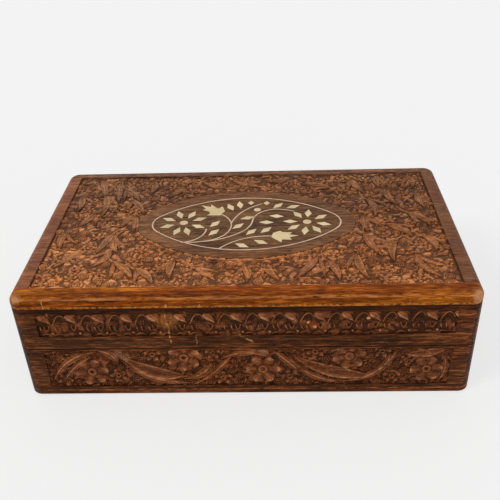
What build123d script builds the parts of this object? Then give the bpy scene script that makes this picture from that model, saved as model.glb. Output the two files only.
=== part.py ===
from build123d import *

import os
from math import atan2, degrees, radians, tan

# A carved hardwood keepsake box with a hinged lid. The base is four lapped boards round a let-in
# bottom; the lid is four boards under a frame of rails that holds one carved and inlaid panel.
# Millimetres. The origin is at the middle of the underside, the front faces -Y and +Z is up.

# ---- driving dimensions --------------------------------------------------------------------------
LENGTH = 254.0                  # left to right
DEPTH = 149.0                   # front to back
HEIGHT = 70.0
CORNER_RADIUS = 7.0             # the four standing corners
TOP_EDGE_RADIUS = 4.0
BOTTOM_CHAMFER = 1.2

SEAM_HEIGHT = 35.4              # middle of the gap between base and lid
SEAM_GAP = 0.4
WALL = 10.0
LAP = 4.0                       # how far an end wall is let into the long walls
BOTTOM_THICKNESS = 4.0
BOTTOM_REBATE = 4.0             # ledge in the walls over the bottom board
BOTTOM_FIT = 0.15

RAIL_THICKNESS = 6.5
FRONT_RAIL = 10.5               # widths of the rails round the lid panel
BACK_RAIL = 8.5
SIDE_RAIL = 9.3
PANEL_GAP = 0.35                # open line between the panel and the rails
TONGUE_WIDTH = 4.0              # tongue round the panel, in a groove of the rails
TONGUE_THICKNESS = 2.4
TONGUE_LIFT = 1.6               # above the rails' underside
TONGUE_FIT = 0.2                # room for the panel to swell

# carved fields: the ground that the carving stands on is sunk below the flush surface
GROUND_DEPTH = 1.3
FIELD_END_MARGIN = 13.5         # plain wood left at each end of a wall
BASE_FIELD_LOW = 7.0
BASE_RIM = 1.4                  # plain lip under the seam
LID_FIELD_LOW = 44.0
LID_FIELD_HIGH = 59.6
GROOVE_MARGIN = 1.4             # plain wood under the groove at the back

OPEN_ANGLE = 100.0
STOP_SPARE_ANGLE = 1.5          # the back edges would meet this much further on
HINGE_INSET = 52.0              # middle of each hinge from the end of the box
HINGE_LENGTH = 26.0
KNUCKLES = 3
KNUCKLE_GAP = 0.2
KNUCKLE_RADIUS = 2.1
KNUCKLE_ROOM = 0.3              # between the knuckles and the wood
BARREL_END_ROOM = 0.4           # past each end of the barrel
LEAF_THICKNESS = 1.0
LEAF_WIDTH = 6.6                # from the pin's axis
LEAF_FIT = 0.05
PIN_RADIUS = 1.0
PIN_TIGHT_FIT = 0.02            # in the knuckles that hold it
PIN_RUNNING_FIT = 0.05          # in the knuckles that turn on it
SCREWS_PER_LEAF = 2
SCREW_END_INSET = 6.0           # from the end of the leaf
SCREW_LENGTH = 7.0
SCREW_RADIUS = 0.7
SCREW_SIDES = 6                 # small round things are drawn with a few flat sides
SCREW_HEAD_RADIUS = 1.5         # flush with the leaf
SCREW_HEAD_TAPER = 0.7          # countersunk part of the head
SCREW_HEAD_SIDES = 8

BRAD_LENGTH = 12.0              # square-cut brads with no heads
BRAD_WIDTH = 1.6
BRAD_CORNER_INSET = 24.0
BRADS_LONG = 4
BRADS_SHORT = 2

LINING = 1.2                    # velvet over card
LINING_SETBACK = 1.0            # of the wall linings from the rim

# the uncarved oval on the lid and the bone let into it
OVAL_SHIFT_LEFT = 0.5           # from the middle of the panel
OVAL_SHIFT_BACK = 1.0
BORDER_HALF_LENGTH = 58.1       # a four-centred oval
BORDER_HALF_DEPTH = 30.85
BORDER_END_RADIUS = 12.5
RESERVE_MARGIN = 8.9            # uncarved wood outside the border
INLAY_DEPTH = 0.8
INLAY_LINE = 0.9                # width of the border and the stems
ROSETTE_DISC_RADIUS = 2.7
ROSETTE_REACH = 10.4            # from the disc's middle to a petal's middle
LOZENGE_LENGTH = 10.2
LOZENGE_WIDTH = 4.7
BUD_LENGTH = 5.5
BUD_WIDTH = 4.6
BERRY_RADIUS = 2.3
DISC_SIDES = 16                 # of the sawn discs: a rosette's middle and the berry

# main leaves and flowers of the panel's carving; the finer carving between them is left out
RELIEF_HEIGHT = 1.1             # over the sunk ground
CARVED_LEAF_WIDTH = 4.2
FLOWER_RADIUS = 3.5
FLOWER_PETALS = 5
FLOWER_ROOM = 5.2               # from a flower's middle to a leaf's rib and to the plain wood
FLOWER_SPACING = 9.0            # least distance from flower to flower
FLOWER_TRIES = 300
SCATTER_STEP_X = 0.7549         # shares of the panel from one place of an even scatter to the next
SCATTER_STEP_Y = 0.5698
DRAWN_LENGTH = 234.7            # the panel that the leaves were drawn for: they stretch with it
DRAWN_DEPTH = 129.3

# ---- places that follow from them ----------------------------------------------------------------
BASE_RIM_HEIGHT = SEAM_HEIGHT - SEAM_GAP / 2
LID_RIM_HEIGHT = SEAM_HEIGHT + SEAM_GAP / 2
RAIL_LEVEL = HEIGHT - RAIL_THICKNESS
INNER_LENGTH = LENGTH - 2 * WALL
INNER_DEPTH = DEPTH - 2 * WALL

PANEL_Y = (FRONT_RAIL - BACK_RAIL) / 2
PANEL_LENGTH = LENGTH - 2 * SIDE_RAIL - 2 * PANEL_GAP
PANEL_DEPTH = DEPTH - FRONT_RAIL - BACK_RAIL - 2 * PANEL_GAP
OVAL_CENTRE = (-OVAL_SHIFT_LEFT, PANEL_Y + OVAL_SHIFT_BACK)

PIN_Y = DEPTH / 2 - KNUCKLE_RADIUS - KNUCKLE_ROOM
GROOVE_ANGLE = (OPEN_ANGLE + STOP_SPARE_ANGLE) / 2
GROOVE_HEIGHT = (DEPTH / 2 - PIN_Y) * tan(radians(GROOVE_ANGLE))
KNUCKLE_LENGTH = (HINGE_LENGTH - (KNUCKLES - 1) * KNUCKLE_GAP) / KNUCKLES
PLATE_WIDTH = LEAF_WIDTH - KNUCKLE_RADIUS - KNUCKLE_ROOM
PLATE_Y = PIN_Y - LEAF_WIDTH + PLATE_WIDTH / 2
HINGE_PLACES = {"left": -LENGTH / 2 + HINGE_INSET, "right": LENGTH / 2 - HINGE_INSET}

# outer faces of the four walls: local x runs along the wall, local y is up, the normal points out
FACES = {
    "front": Plane((0, -DEPTH / 2, 0), x_dir=(1, 0, 0), z_dir=(0, -1, 0)),
    "back": Plane((0, DEPTH / 2, 0), x_dir=(-1, 0, 0), z_dir=(0, 1, 0)),
    "left": Plane((-LENGTH / 2, 0, 0), x_dir=(0, -1, 0), z_dir=(-1, 0, 0)),
    "right": Plane((LENGTH / 2, 0, 0), x_dir=(0, 1, 0), z_dir=(1, 0, 0)),
}
FIELD_HALF_LENGTHS = {
    "front": LENGTH / 2 - FIELD_END_MARGIN,
    "back": LENGTH / 2 - FIELD_END_MARGIN,
    "left": DEPTH / 2 - FIELD_END_MARGIN,
    "right": DEPTH / 2 - FIELD_END_MARGIN,
}
SIDES = {"left": -1, "right": 1}
ENDS = {"front": -1, "back": 1}
UPWARD = (Align.CENTER, Align.CENTER, Align.MIN)

pieces = {}                     # node name -> finished piece


# ---- the outside form: every outer piece is rounded with it --------------------------------------
with BuildPart() as outside:
    with BuildSketch():
        RectangleRounded(LENGTH, DEPTH, CORNER_RADIUS)
    extrude(amount=HEIGHT)
    fillet(outside.faces().sort_by(Axis.Z)[-1].edges(), TOP_EDGE_RADIUS)
    chamfer(outside.faces().sort_by(Axis.Z)[0].edges(), BOTTOM_CHAMFER)


# ---- boards of the base and of the lid's sides ---------------------------------------------------
def long_board(direction, low, high):
    """A front or back board, with its inner corners cut away for the end boards."""
    with BuildSketch(Plane.XY.offset(low)) as plan:
        with Locations((0, direction * (DEPTH - WALL) / 2)):
            Rectangle(LENGTH, WALL)
        with GridLocations(LENGTH - WALL, 0, 2, 1):
            with Locations((0, direction * (INNER_DEPTH + LAP) / 2)):
                Rectangle(WALL, LAP, mode=Mode.SUBTRACT)
    extrude(plan.sketch, amount=high - low)
    add(outside.part, mode=Mode.INTERSECT)


def end_board(direction, low, high):
    """A left or right board, let into the long boards at both ends."""
    with BuildSketch(Plane.XY.offset(low)) as plan:
        with Locations((direction * (LENGTH - WALL) / 2, 0)):
            Rectangle(WALL, INNER_DEPTH + 2 * LAP)
    extrude(plan.sketch, amount=high - low)
    add(outside.part, mode=Mode.INTERSECT)


def sink_field(side, low, high):
    """Takes the ground of a carved band below the face of a wall."""
    with BuildSketch(FACES[side]) as plan:
        with Locations((0, (low + high) / 2)):
            Rectangle(2 * FIELD_HALF_LENGTHS[side], high - low)
    extrude(plan.sketch, amount=-GROUND_DEPTH, mode=Mode.SUBTRACT)


def cut_bottom_rebate():
    """The ledge round the underside that the bottom board is let into."""
    with BuildSketch(Plane.XY) as plan:
        Rectangle(INNER_LENGTH + 2 * BOTTOM_REBATE, INNER_DEPTH + 2 * BOTTOM_REBATE)
    extrude(plan.sketch, amount=BOTTOM_THICKNESS, mode=Mode.SUBTRACT)


def brad_places(level):
    """Places of the brads under the middle of the ledge, at one height."""
    ledge_x = INNER_LENGTH + BOTTOM_REBATE
    ledge_y = INNER_DEPTH + BOTTOM_REBATE
    pitch_long = (LENGTH - 2 * BRAD_CORNER_INSET) / (BRADS_LONG - 1)
    pitch_short = (DEPTH - 2 * BRAD_CORNER_INSET) / (BRADS_SHORT - 1)
    long_sides = GridLocations(pitch_long, ledge_y, BRADS_LONG, 2)
    short_sides = GridLocations(ledge_x, pitch_short, 2, BRADS_SHORT)
    return [Location((0, 0, level)) * place for place in [*long_sides, *short_sides]]


def brads(mode):
    """All the brads, as metal or as the holes that they fill."""
    with Locations(*brad_places(0)):
        Box(BRAD_WIDTH, BRAD_WIDTH, BRAD_LENGTH, align=UPWARD, mode=mode)


def cut_back_groove(up):
    """Slopes the back edge beside the seam: the two slopes meet when the lid is fully open."""
    outward = DEPTH / 2 - PIN_Y + SEAM_GAP
    far_y = PIN_Y + outward
    far_z = SEAM_HEIGHT + up * outward * tan(radians(GROOVE_ANGLE))
    with BuildSketch(Plane.YZ) as plan:
        with BuildLine():
            Polyline((PIN_Y, SEAM_HEIGHT), (far_y, SEAM_HEIGHT), (far_y, far_z), close=True)
        make_face()
    extrude(plan.sketch, amount=LENGTH / 2, both=True, mode=Mode.SUBTRACT)


def screw_places(hinge_x, level, flipped):
    """Places of the screw heads on a leaf, with the heads' tops at one level."""
    pitch = (HINGE_LENGTH - 2 * SCREW_END_INSET) / (SCREWS_PER_LEAF - 1)
    turn = (180, 0, 0) if flipped else (0, 0, 0)
    row = GridLocations(pitch, 0, SCREWS_PER_LEAF, 1)
    return [Location((hinge_x + spot.position.X, PLATE_Y, level), turn) for spot in row]


with BuildPart() as screw_shank:
    with BuildSketch():
        RegularPolygon(SCREW_RADIUS, SCREW_SIDES)
    extrude(amount=-SCREW_LENGTH)

with BuildPart() as screw_head:
    with BuildSketch():
        RegularPolygon(SCREW_HEAD_RADIUS, SCREW_HEAD_SIDES)
    extrude(amount=-LEAF_THICKNESS)
    chamfer(screw_head.faces().sort_by(Axis.Z)[0].edges(), SCREW_HEAD_TAPER)


def cut_hinge_seat(hinge_x, rim, up):
    """Lets a leaf, its screws and half of the knuckles into a rim."""
    with BuildSketch(Plane.XY.offset(rim)) as plan:
        with Locations((hinge_x, PIN_Y - (LEAF_WIDTH + LEAF_FIT) / 2)):
            Rectangle(HINGE_LENGTH + 2 * LEAF_FIT, LEAF_WIDTH + LEAF_FIT)
    extrude(plan.sketch, amount=up * LEAF_THICKNESS, mode=Mode.SUBTRACT)
    with Locations(Location((hinge_x, PIN_Y, SEAM_HEIGHT), (0, 90, 0))):
        Cylinder(KNUCKLE_RADIUS + KNUCKLE_ROOM, HINGE_LENGTH + 2 * BARREL_END_ROOM, mode=Mode.SUBTRACT)
    with Locations(*screw_places(hinge_x, rim, flipped=up > 0)):
        add(screw_shank.part, mode=Mode.SUBTRACT)


base_field_high = BASE_RIM_HEIGHT - BASE_RIM
base_back_field_high = SEAM_HEIGHT - GROOVE_HEIGHT - GROOVE_MARGIN

with BuildPart() as base_front_wall:
    long_board(ENDS["front"], 0, BASE_RIM_HEIGHT)
    cut_bottom_rebate()
    brads(Mode.SUBTRACT)
    sink_field("front", BASE_FIELD_LOW, base_field_high)
pieces["base_front_wall"] = base_front_wall

with BuildPart() as base_back_wall:
    long_board(ENDS["back"], 0, BASE_RIM_HEIGHT)
    cut_bottom_rebate()
    brads(Mode.SUBTRACT)
    sink_field("back", BASE_FIELD_LOW, base_back_field_high)
    cut_back_groove(up=-1)
    for hinge_x in HINGE_PLACES.values():
        cut_hinge_seat(hinge_x, BASE_RIM_HEIGHT, up=-1)
pieces["base_back_wall"] = base_back_wall

for side, direction in SIDES.items():
    with BuildPart() as base_end_wall:
        end_board(direction, 0, BASE_RIM_HEIGHT)
        cut_bottom_rebate()
        brads(Mode.SUBTRACT)
        sink_field(side, BASE_FIELD_LOW, base_field_high)
    pieces[f"base_{side}_wall"] = base_end_wall


# ---- bottom board and its brads ------------------------------------------------------------------
with BuildPart() as bottom_board:
    with BuildSketch(Plane.XY):
        Rectangle(
            INNER_LENGTH + 2 * (BOTTOM_REBATE - BOTTOM_FIT), INNER_DEPTH + 2 * (BOTTOM_REBATE - BOTTOM_FIT)
        )
    extrude(amount=BOTTOM_THICKNESS)
    brads(Mode.SUBTRACT)
pieces["bottom_board"] = bottom_board

with BuildPart() as bottom_brads:
    brads(Mode.ADD)
pieces["bottom_brads"] = bottom_brads


# ---- hinges: a lower leaf, an upper leaf, a pin and countersunk screws ---------------------------
def hinge_leaf(hinge_x, rim, up, knuckle_numbers, bore_fit):
    """A leaf let into a rim, with its own knuckles of the barrel."""
    knuckle_pitch = KNUCKLE_LENGTH + KNUCKLE_GAP
    knuckle_xs = [hinge_x + (number - (KNUCKLES - 1) / 2) * knuckle_pitch for number in knuckle_numbers]
    with BuildPart() as leaf:
        with BuildSketch(Plane.XY.offset(rim)):
            with Locations((hinge_x, PLATE_Y)):
                Rectangle(HINGE_LENGTH, PLATE_WIDTH)
            for knuckle_x in knuckle_xs:
                with Locations((knuckle_x, PIN_Y - LEAF_WIDTH / 2)):
                    Rectangle(KNUCKLE_LENGTH, LEAF_WIDTH)
        extrude(amount=up * LEAF_THICKNESS)
        for knuckle_x in knuckle_xs:
            with Locations(Location((knuckle_x, PIN_Y, SEAM_HEIGHT), (0, 90, 0))):
                Cylinder(KNUCKLE_RADIUS, KNUCKLE_LENGTH)
        with Locations(Location((hinge_x, PIN_Y, SEAM_HEIGHT), (0, 90, 0))):
            Cylinder(PIN_RADIUS + bore_fit, HINGE_LENGTH, mode=Mode.SUBTRACT)
        with Locations(*screw_places(hinge_x, rim, flipped=up > 0)):
            add(screw_head.part, mode=Mode.SUBTRACT)
    return leaf


for side, hinge_x in HINGE_PLACES.items():
    pieces[f"{side}_hinge_lower_leaf"] = hinge_leaf(
        hinge_x, BASE_RIM_HEIGHT, -1, range(0, KNUCKLES, 2), PIN_TIGHT_FIT
    )
    pieces[f"{side}_hinge_upper_leaf"] = hinge_leaf(
        hinge_x, LID_RIM_HEIGHT, 1, range(1, KNUCKLES, 2), PIN_RUNNING_FIT
    )
    with BuildPart() as hinge_pin:
        with Locations(Location((hinge_x, PIN_Y, SEAM_HEIGHT), (0, 90, 0))):
            Cylinder(PIN_RADIUS, HINGE_LENGTH)
    pieces[f"{side}_hinge_pin"] = hinge_pin

with BuildPart() as screw:
    add(screw_shank.part)
    add(screw_head.part)

with BuildPart() as lower_hinge_screws:
    for hinge_x in HINGE_PLACES.values():
        with Locations(*screw_places(hinge_x, BASE_RIM_HEIGHT, flipped=False)):
            add(screw.part)
pieces["lower_hinge_screws"] = lower_hinge_screws

with BuildPart() as upper_hinge_screws:
    for hinge_x in HINGE_PLACES.values():
        with Locations(*screw_places(hinge_x, LID_RIM_HEIGHT, flipped=True)):
            add(screw.part)
pieces["upper_hinge_screws"] = upper_hinge_screws


# ---- lid sides -----------------------------------------------------------------------------------
with BuildPart() as lid_front_wall:
    long_board(ENDS["front"], LID_RIM_HEIGHT, RAIL_LEVEL)
    sink_field("front", LID_FIELD_LOW, LID_FIELD_HIGH)
pieces["lid_front_wall"] = lid_front_wall

with BuildPart() as lid_back_wall:
    long_board(ENDS["back"], LID_RIM_HEIGHT, RAIL_LEVEL)
    sink_field("back", LID_FIELD_LOW, LID_FIELD_HIGH)
    cut_back_groove(up=1)
    for hinge_x in HINGE_PLACES.values():
        cut_hinge_seat(hinge_x, LID_RIM_HEIGHT, up=1)
pieces["lid_back_wall"] = lid_back_wall

for side, direction in SIDES.items():
    with BuildPart() as lid_end_wall:
        end_board(direction, LID_RIM_HEIGHT, RAIL_LEVEL)
        sink_field(side, LID_FIELD_LOW, LID_FIELD_HIGH)
    pieces[f"lid_{side}_wall"] = lid_end_wall


# ---- rails round the lid panel -------------------------------------------------------------------
def cut_panel_groove():
    """The groove in the rails' inner edges that holds the panel's tongue."""
    with BuildSketch(Plane.XY.offset(RAIL_LEVEL + TONGUE_LIFT)) as plan:
        with Locations((0, PANEL_Y)):
            Rectangle(
                PANEL_LENGTH + 2 * (TONGUE_WIDTH + TONGUE_FIT), PANEL_DEPTH + 2 * (TONGUE_WIDTH + TONGUE_FIT)
            )
    extrude(plan.sketch, amount=TONGUE_THICKNESS, mode=Mode.SUBTRACT)


for end, width in {"front": FRONT_RAIL, "back": BACK_RAIL}.items():
    with BuildPart() as long_rail:
        with BuildSketch(Plane.XY.offset(RAIL_LEVEL)):
            with Locations((0, ENDS[end] * (DEPTH - width) / 2)):
                Rectangle(LENGTH, width)
        extrude(amount=RAIL_THICKNESS)
        add(outside.part, mode=Mode.INTERSECT)
        cut_panel_groove()
    pieces[f"lid_{end}_rail"] = long_rail

for side, direction in SIDES.items():
    with BuildPart() as side_rail:
        with BuildSketch(Plane.XY.offset(RAIL_LEVEL)):
            with Locations((direction * (LENGTH - SIDE_RAIL) / 2, PANEL_Y)):
                Rectangle(SIDE_RAIL, DEPTH - FRONT_RAIL - BACK_RAIL)
        extrude(amount=RAIL_THICKNESS)
        add(outside.part, mode=Mode.INTERSECT)
        cut_panel_groove()
    pieces[f"lid_{side}_rail"] = side_rail


# ---- inlay drawing: places are in hundredths of the border's half length and half depth ----------
def on_oval(across, up):
    """A point of the inlay drawing as a place on the lid."""
    return (
        OVAL_CENTRE[0] + across / 100 * BORDER_HALF_LENGTH,
        OVAL_CENTRE[1] + up / 100 * BORDER_HALF_DEPTH,
    )


def four_centred_oval(margin, mode=Mode.ADD):
    """The border's oval grown by a margin: two long arcs, with a tighter arc at each end."""
    end_x = BORDER_HALF_LENGTH - BORDER_END_RADIUS
    long_y = (end_x**2 - (BORDER_HALF_DEPTH - BORDER_END_RADIUS) ** 2) / (
        2 * (BORDER_HALF_DEPTH - BORDER_END_RADIUS)
    )
    turn = degrees(atan2(long_y, end_x))
    end_radius = BORDER_END_RADIUS + margin
    long_radius = BORDER_HALF_DEPTH + long_y + margin
    x, y = OVAL_CENTRE
    with BuildLine() as loop:
        CenterArc((x + end_x, y), end_radius, -turn, 2 * turn)
        CenterArc((x, y - long_y), long_radius, turn, 180 - 2 * turn)
        CenterArc((x - end_x, y), end_radius, 180 - turn, 2 * turn)
        CenterArc((x, y + long_y), long_radius, 180 + turn, 180 - 2 * turn)
    make_face(loop.edges(), mode=mode)


def lozenge(length, width):
    """A hand-sawn diamond with its long axis along x."""
    Polygon((length / 2, 0), (0, width / 2), (-length / 2, 0), (0, -width / 2), align=None)


ROSETTES = {
    "left": {"centre": (-66.8, 2.9), "bearings": (23, 66, 109, 156, 201, 252, 287, 334)},
    "right": {"centre": (64.5, -1.0), "bearings": (33, 84, 122, 176, 216, 261, 301, 345)},
}

# tulip heads: open crowns with five points, in millimetres about their own middles
TULIPS = {
    "left": {
        "centre": (-35.1, 47.2),
        "outline": (
            (-9.4, 8.3),
            (-3.0, 5.6),
            (-2.9, 9.0),
            (1.8, 3.4),
            (4.7, 6.4),
            (6.6, -0.5),
            (4.5, -3.6),
            (4.2, -5.4),
            (-5.2, -5.4),
            (-3.0, -3.0),
            (-3.5, -0.6),
            (-8.4, 1.9),
            (-6.0, 3.3),
        ),
    },
    "right": {
        "centre": (37.0, -52.8),
        "outline": (
            (-0.7, 6.1),
            (-5.0, 3.8),
            (-5.8, 0.9),
            (-6.2, -1.1),
            (-0.2, -7.3),
            (0.4, -4.0),
            (6.2, -4.6),
            (5.0, -1.6),
            (10.8, 0.2),
            (5.0, 1.6),
            (6.6, 4.1),
            (0.6, 4.6),
        ),
    },
}

# stems, each from its foot to its flower: an arc through three points, then arcs that run on smoothly
STEMS = (
    ((-66.0, -70.5), (-47.5, -53.5), (-41.7, -22.4)),
    ((-66.0, -70.5), (-51.0, -70.3), (-37.0, -65.0), (-15.9, -3.6), (-29.0, 36.0)),
    ((-44.0, -68.6), (-23.6, -58.6), (-4.4, -35.4), (6.6, 6.6), (35.4, 50.7), (51.0, 42.0)),
    ((-16.0, -4.5), (-6.0, 39.5), (16.6, 74.6)),
    ((-25.8, -94.0), (0.9, -58.9), (28.5, -53.0)),
)

# leaves of the stems: middle and direction of the long axis in degrees
LEAVES = (
    (-18.2, 63.0, -66),
    (-7.9, 71.7, -82),
    (-33.2, -3.6, 52),
    (-33.3, -35.4, 50),
    (-8.4, -13.3, 43),
    (34.1, 65.9, 48),
    (50.5, 60.5, 20),
    (32.2, 23.2, -8),
    (21.4, -0.5, -5),
    (21.1, -29.6, 45),
    (15.7, -73.0, -29),
    (1.1, 18.1, 16),
    (-3.3, -84.0, -28),
    (5.7, -35.8, 49),
)
BUDS = ((4.3, 79.2, 90), (21.6, 77.5, 90))
BERRY = (11.5, 50.4)

INLAY_FLOOR = Plane.XY.offset(HEIGHT - INLAY_DEPTH)

with BuildSketch(INLAY_FLOOR) as border_shape:
    four_centred_oval(INLAY_LINE / 2)
    four_centred_oval(-INLAY_LINE / 2, mode=Mode.SUBTRACT)

rosette_shapes = {}
for side, rosette in ROSETTES.items():
    with BuildSketch(INLAY_FLOOR) as rosette_shapes[side]:
        with Locations(on_oval(*rosette["centre"])):
            RegularPolygon(ROSETTE_DISC_RADIUS, DISC_SIDES)
            for bearing in rosette["bearings"]:
                with PolarLocations(ROSETTE_REACH, 1, start_angle=bearing):
                    lozenge(LOZENGE_LENGTH, LOZENGE_WIDTH)

tulip_shapes = {}
for side, tulip in TULIPS.items():
    with BuildSketch(INLAY_FLOOR) as tulip_shapes[side]:
        with Locations(on_oval(*tulip["centre"])):
            Polygon(*tulip["outline"], align=None)

with BuildSketch(INLAY_FLOOR) as leaf_shapes:
    for across, up, turn in LEAVES:
        with Locations(Location((*on_oval(across, up), 0), turn)):
            lozenge(LOZENGE_LENGTH, LOZENGE_WIDTH)
    for across, up, turn in BUDS:
        with Locations(Location((*on_oval(across, up), 0), turn)):
            lozenge(BUD_LENGTH, BUD_WIDTH)
    with Locations(on_oval(*BERRY)):
        RegularPolygon(BERRY_RADIUS, DISC_SIDES)

with BuildSketch(INLAY_FLOOR) as stem_shapes:
    for points in STEMS:
        foot, bend, *rest = [on_oval(*point) for point in points]
        with BuildLine() as stem:
            arc = ThreePointArc(foot, bend, rest[0])
            for start, end in zip(rest, rest[1:]):
                arc = TangentArc(start, end, tangent=arc % 1)
        for side in (Side.LEFT, Side.RIGHT):
            make_face(stem.wire().offset_2d(INLAY_LINE / 2, side=side).edges())
    # a stem stops at the border and at each piece of bone that it meets
    for shape in (border_shape, leaf_shapes, *tulip_shapes.values(), *rosette_shapes.values()):
        add(shape.sketch, mode=Mode.SUBTRACT)

inlay_shapes = {
    "inlay_border": border_shape,
    "inlay_stems": stem_shapes,
    "inlay_left_rosette": rosette_shapes["left"],
    "inlay_right_rosette": rosette_shapes["right"],
    "inlay_left_tulip": tulip_shapes["left"],
    "inlay_right_tulip": tulip_shapes["right"],
    "inlay_leaves": leaf_shapes,
}


# ---- carving of the lid panel: long leaves, and flowers where they leave room --------------------
# each leaf from its stalk past its bend to its tip, from the middle of the panel as drawn
PANEL_LEAVES = (
    ((-103, 61), (-97, 49), (-96, 35)),
    ((-96, 40), (-90.5, 29), (-93, 11)),
    ((-90, 57), (-87, 45), (-85.5, 29)),
    ((-84, 49), (-78, 43), (-71, 31)),
    ((-76, 33), (-71, 25), (-66, 15)),
    ((-73, 13), (-76, 7), (-78, -2)),
    ((-71.5, 12), (-69, 3), (-70, -7)),
    ((-98, 16), (-100, 8), (-105.5, -1)),
    ((-112, 39), (-108, 31), (-110, 19)),
    ((-44, 51), (-46, 43), (-53, 36)),
    ((-66, 59), (-62, 51), (-66, 41)),
    ((-81, -9), (-84, -19), (-88, -31)),
    ((-80, -15), (-80, -23), (-75, -30)),
    ((-79, -28), (-80, -37), (-87, -44)),
    ((-97, -25), (-101, -35), (-109, -44)),
    ((-76, -39), (-66, -47), (-62, -57)),
    ((-62, -47), (-54, -51), (-50, -61)),
    ((-110, -7), (-114, -15), (-110, -25)),
    ((-40, -39), (-44, -47), (-41, -57)),
    ((-28, -47), (-22, -51), (-16, -59)),
    ((-2, -45), (4, -51), (1, -61)),
    ((12, -43), (12, -51), (19, -59)),
    ((42, -37), (36, -47), (28, -59)),
    ((46, -41), (52, -49), (52, -61)),
    ((64, -35), (62, -47), (68, -59)),
    ((70, -13), (72, -25), (78, -37)),
    ((88, -21), (82, -31), (84, -43)),
    ((97, -35), (95, -49), (107, -58)),
    ((104, -17), (112, -23), (109, -33)),
    ((76, 29), (83, 21), (79, 5)),
    ((73, 9), (70, -1), (73, -11)),
    ((92, 43), (88, 33), (95, 21)),
    ((112, 37), (107, 29), (112, 17)),
    ((84, -3), (94, -7), (98, -17)),
    ((100, 11), (110, 5), (111, -5)),
    ((70, 57), (70, 47), (76, 37)),
    ((88, 61), (84, 53), (87, 45)),
    ((106, 61), (112, 53), (108, 43)),
    ((54, 45), (46, 51), (36, 51)),
    ((30, 61), (22, 55), (12, 56)),
    ((6, 49), (-4, 51), (-12, 59)),
    ((-16, 47), (-24, 49), (-32, 57)),
)


def on_panel(across, up):
    """A point of the drawing of the leaves as a place on the lid."""
    return (across * PANEL_LENGTH / DRAWN_LENGTH, PANEL_Y + up * PANEL_DEPTH / DRAWN_DEPTH)


def leaf(rib):
    """A long leaf about its rib: pointed at both ends, with two corners on each side."""
    left, right = [], []
    for share in (1 / 3, 2 / 3):
        across = (rib % share).rotate(Axis.Z, 90) * CARVED_LEAF_WIDTH / 2
        left.append(rib @ share + across)
        right.append(rib @ share - across)
    Polygon(rib @ 0, *right, rib @ 1, *reversed(left), align=None)


leaf_ribs = [Bezier(*(on_panel(*point) for point in points)) for points in PANEL_LEAVES]

with BuildSketch() as plain_oval:
    four_centred_oval(RESERVE_MARGIN)

# a flower stands at each place of an even scatter that has room for it
flower_places = []
for number in range(FLOWER_TRIES):
    x = (number * SCATTER_STEP_X % 1 - 0.5) * (PANEL_LENGTH - 2 * FLOWER_ROOM)
    y = (number * SCATTER_STEP_Y % 1 - 0.5) * (PANEL_DEPTH - 2 * FLOWER_ROOM) + PANEL_Y
    place = Vector(x, y)
    room = min(shape.distance_to(place) for shape in (*leaf_ribs, plain_oval.face()))
    apart = all((place - other).length > FLOWER_SPACING for other in flower_places)
    if room > FLOWER_ROOM and apart:
        flower_places.append(place)

with BuildSketch(Plane.XY.offset(HEIGHT - GROUND_DEPTH)) as relief:
    for rib in leaf_ribs:
        leaf(rib)
    four_centred_oval(RESERVE_MARGIN, mode=Mode.SUBTRACT)
    with Locations((0, PANEL_Y)):
        Rectangle(PANEL_LENGTH, PANEL_DEPTH, mode=Mode.INTERSECT)
    with Locations(*flower_places):
        RegularPolygon(FLOWER_RADIUS, FLOWER_PETALS)


# ---- lid panel: a tongue all round, a sunk ground, a flush oval with pockets for the inlay -------
with BuildPart() as lid_panel:
    with BuildSketch(Plane.XY.offset(RAIL_LEVEL)):
        with Locations((0, PANEL_Y)):
            Rectangle(PANEL_LENGTH, PANEL_DEPTH)
    extrude(amount=RAIL_THICKNESS)
    with BuildSketch(Plane.XY.offset(RAIL_LEVEL + TONGUE_LIFT)):
        with Locations((0, PANEL_Y)):
            Rectangle(PANEL_LENGTH + 2 * TONGUE_WIDTH, PANEL_DEPTH + 2 * TONGUE_WIDTH)
    extrude(amount=TONGUE_THICKNESS)
    with BuildSketch(Plane.XY.offset(HEIGHT)):
        with Locations((0, PANEL_Y)):
            Rectangle(PANEL_LENGTH, PANEL_DEPTH)
        four_centred_oval(RESERVE_MARGIN, mode=Mode.SUBTRACT)
    extrude(amount=-GROUND_DEPTH, mode=Mode.SUBTRACT)
    extrude(relief.sketch, amount=RELIEF_HEIGHT)
    for shape in inlay_shapes.values():
        extrude(shape.sketch, amount=INLAY_DEPTH, mode=Mode.SUBTRACT)
pieces["lid_panel"] = lid_panel

for name, shape in inlay_shapes.items():
    with BuildPart() as inlay:
        extrude(shape.sketch, amount=INLAY_DEPTH)
    pieces[name] = inlay


# ---- linings: velvet over card, glued to the wood ------------------------------------------------
def long_lining(direction, low, high):
    """A lining along a front or back wall, from end wall to end wall."""
    with BuildSketch(Plane.XY.offset(low)) as plan:
        with Locations((0, direction * (INNER_DEPTH - LINING) / 2)):
            Rectangle(INNER_LENGTH, LINING)
    extrude(plan.sketch, amount=high - low)


def end_lining(direction, low, high):
    """A lining along a left or right wall, between the long ones."""
    with BuildSketch(Plane.XY.offset(low)) as plan:
        with Locations((direction * (INNER_LENGTH - LINING) / 2, 0)):
            Rectangle(LINING, INNER_DEPTH - 2 * LINING)
    extrude(plan.sketch, amount=high - low)


lining_levels = {
    "base": (BOTTOM_THICKNESS + LINING, BASE_RIM_HEIGHT - LINING_SETBACK),
    "lid": (LID_RIM_HEIGHT + LINING_SETBACK, RAIL_LEVEL - LINING),
}
for half, (low, high) in lining_levels.items():
    for end, direction in ENDS.items():
        with BuildPart() as lining:
            long_lining(direction, low, high)
        pieces[f"{half}_{end}_lining"] = lining
    for side, direction in SIDES.items():
        with BuildPart() as lining:
            end_lining(direction, low, high)
        pieces[f"{half}_{side}_lining"] = lining

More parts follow.
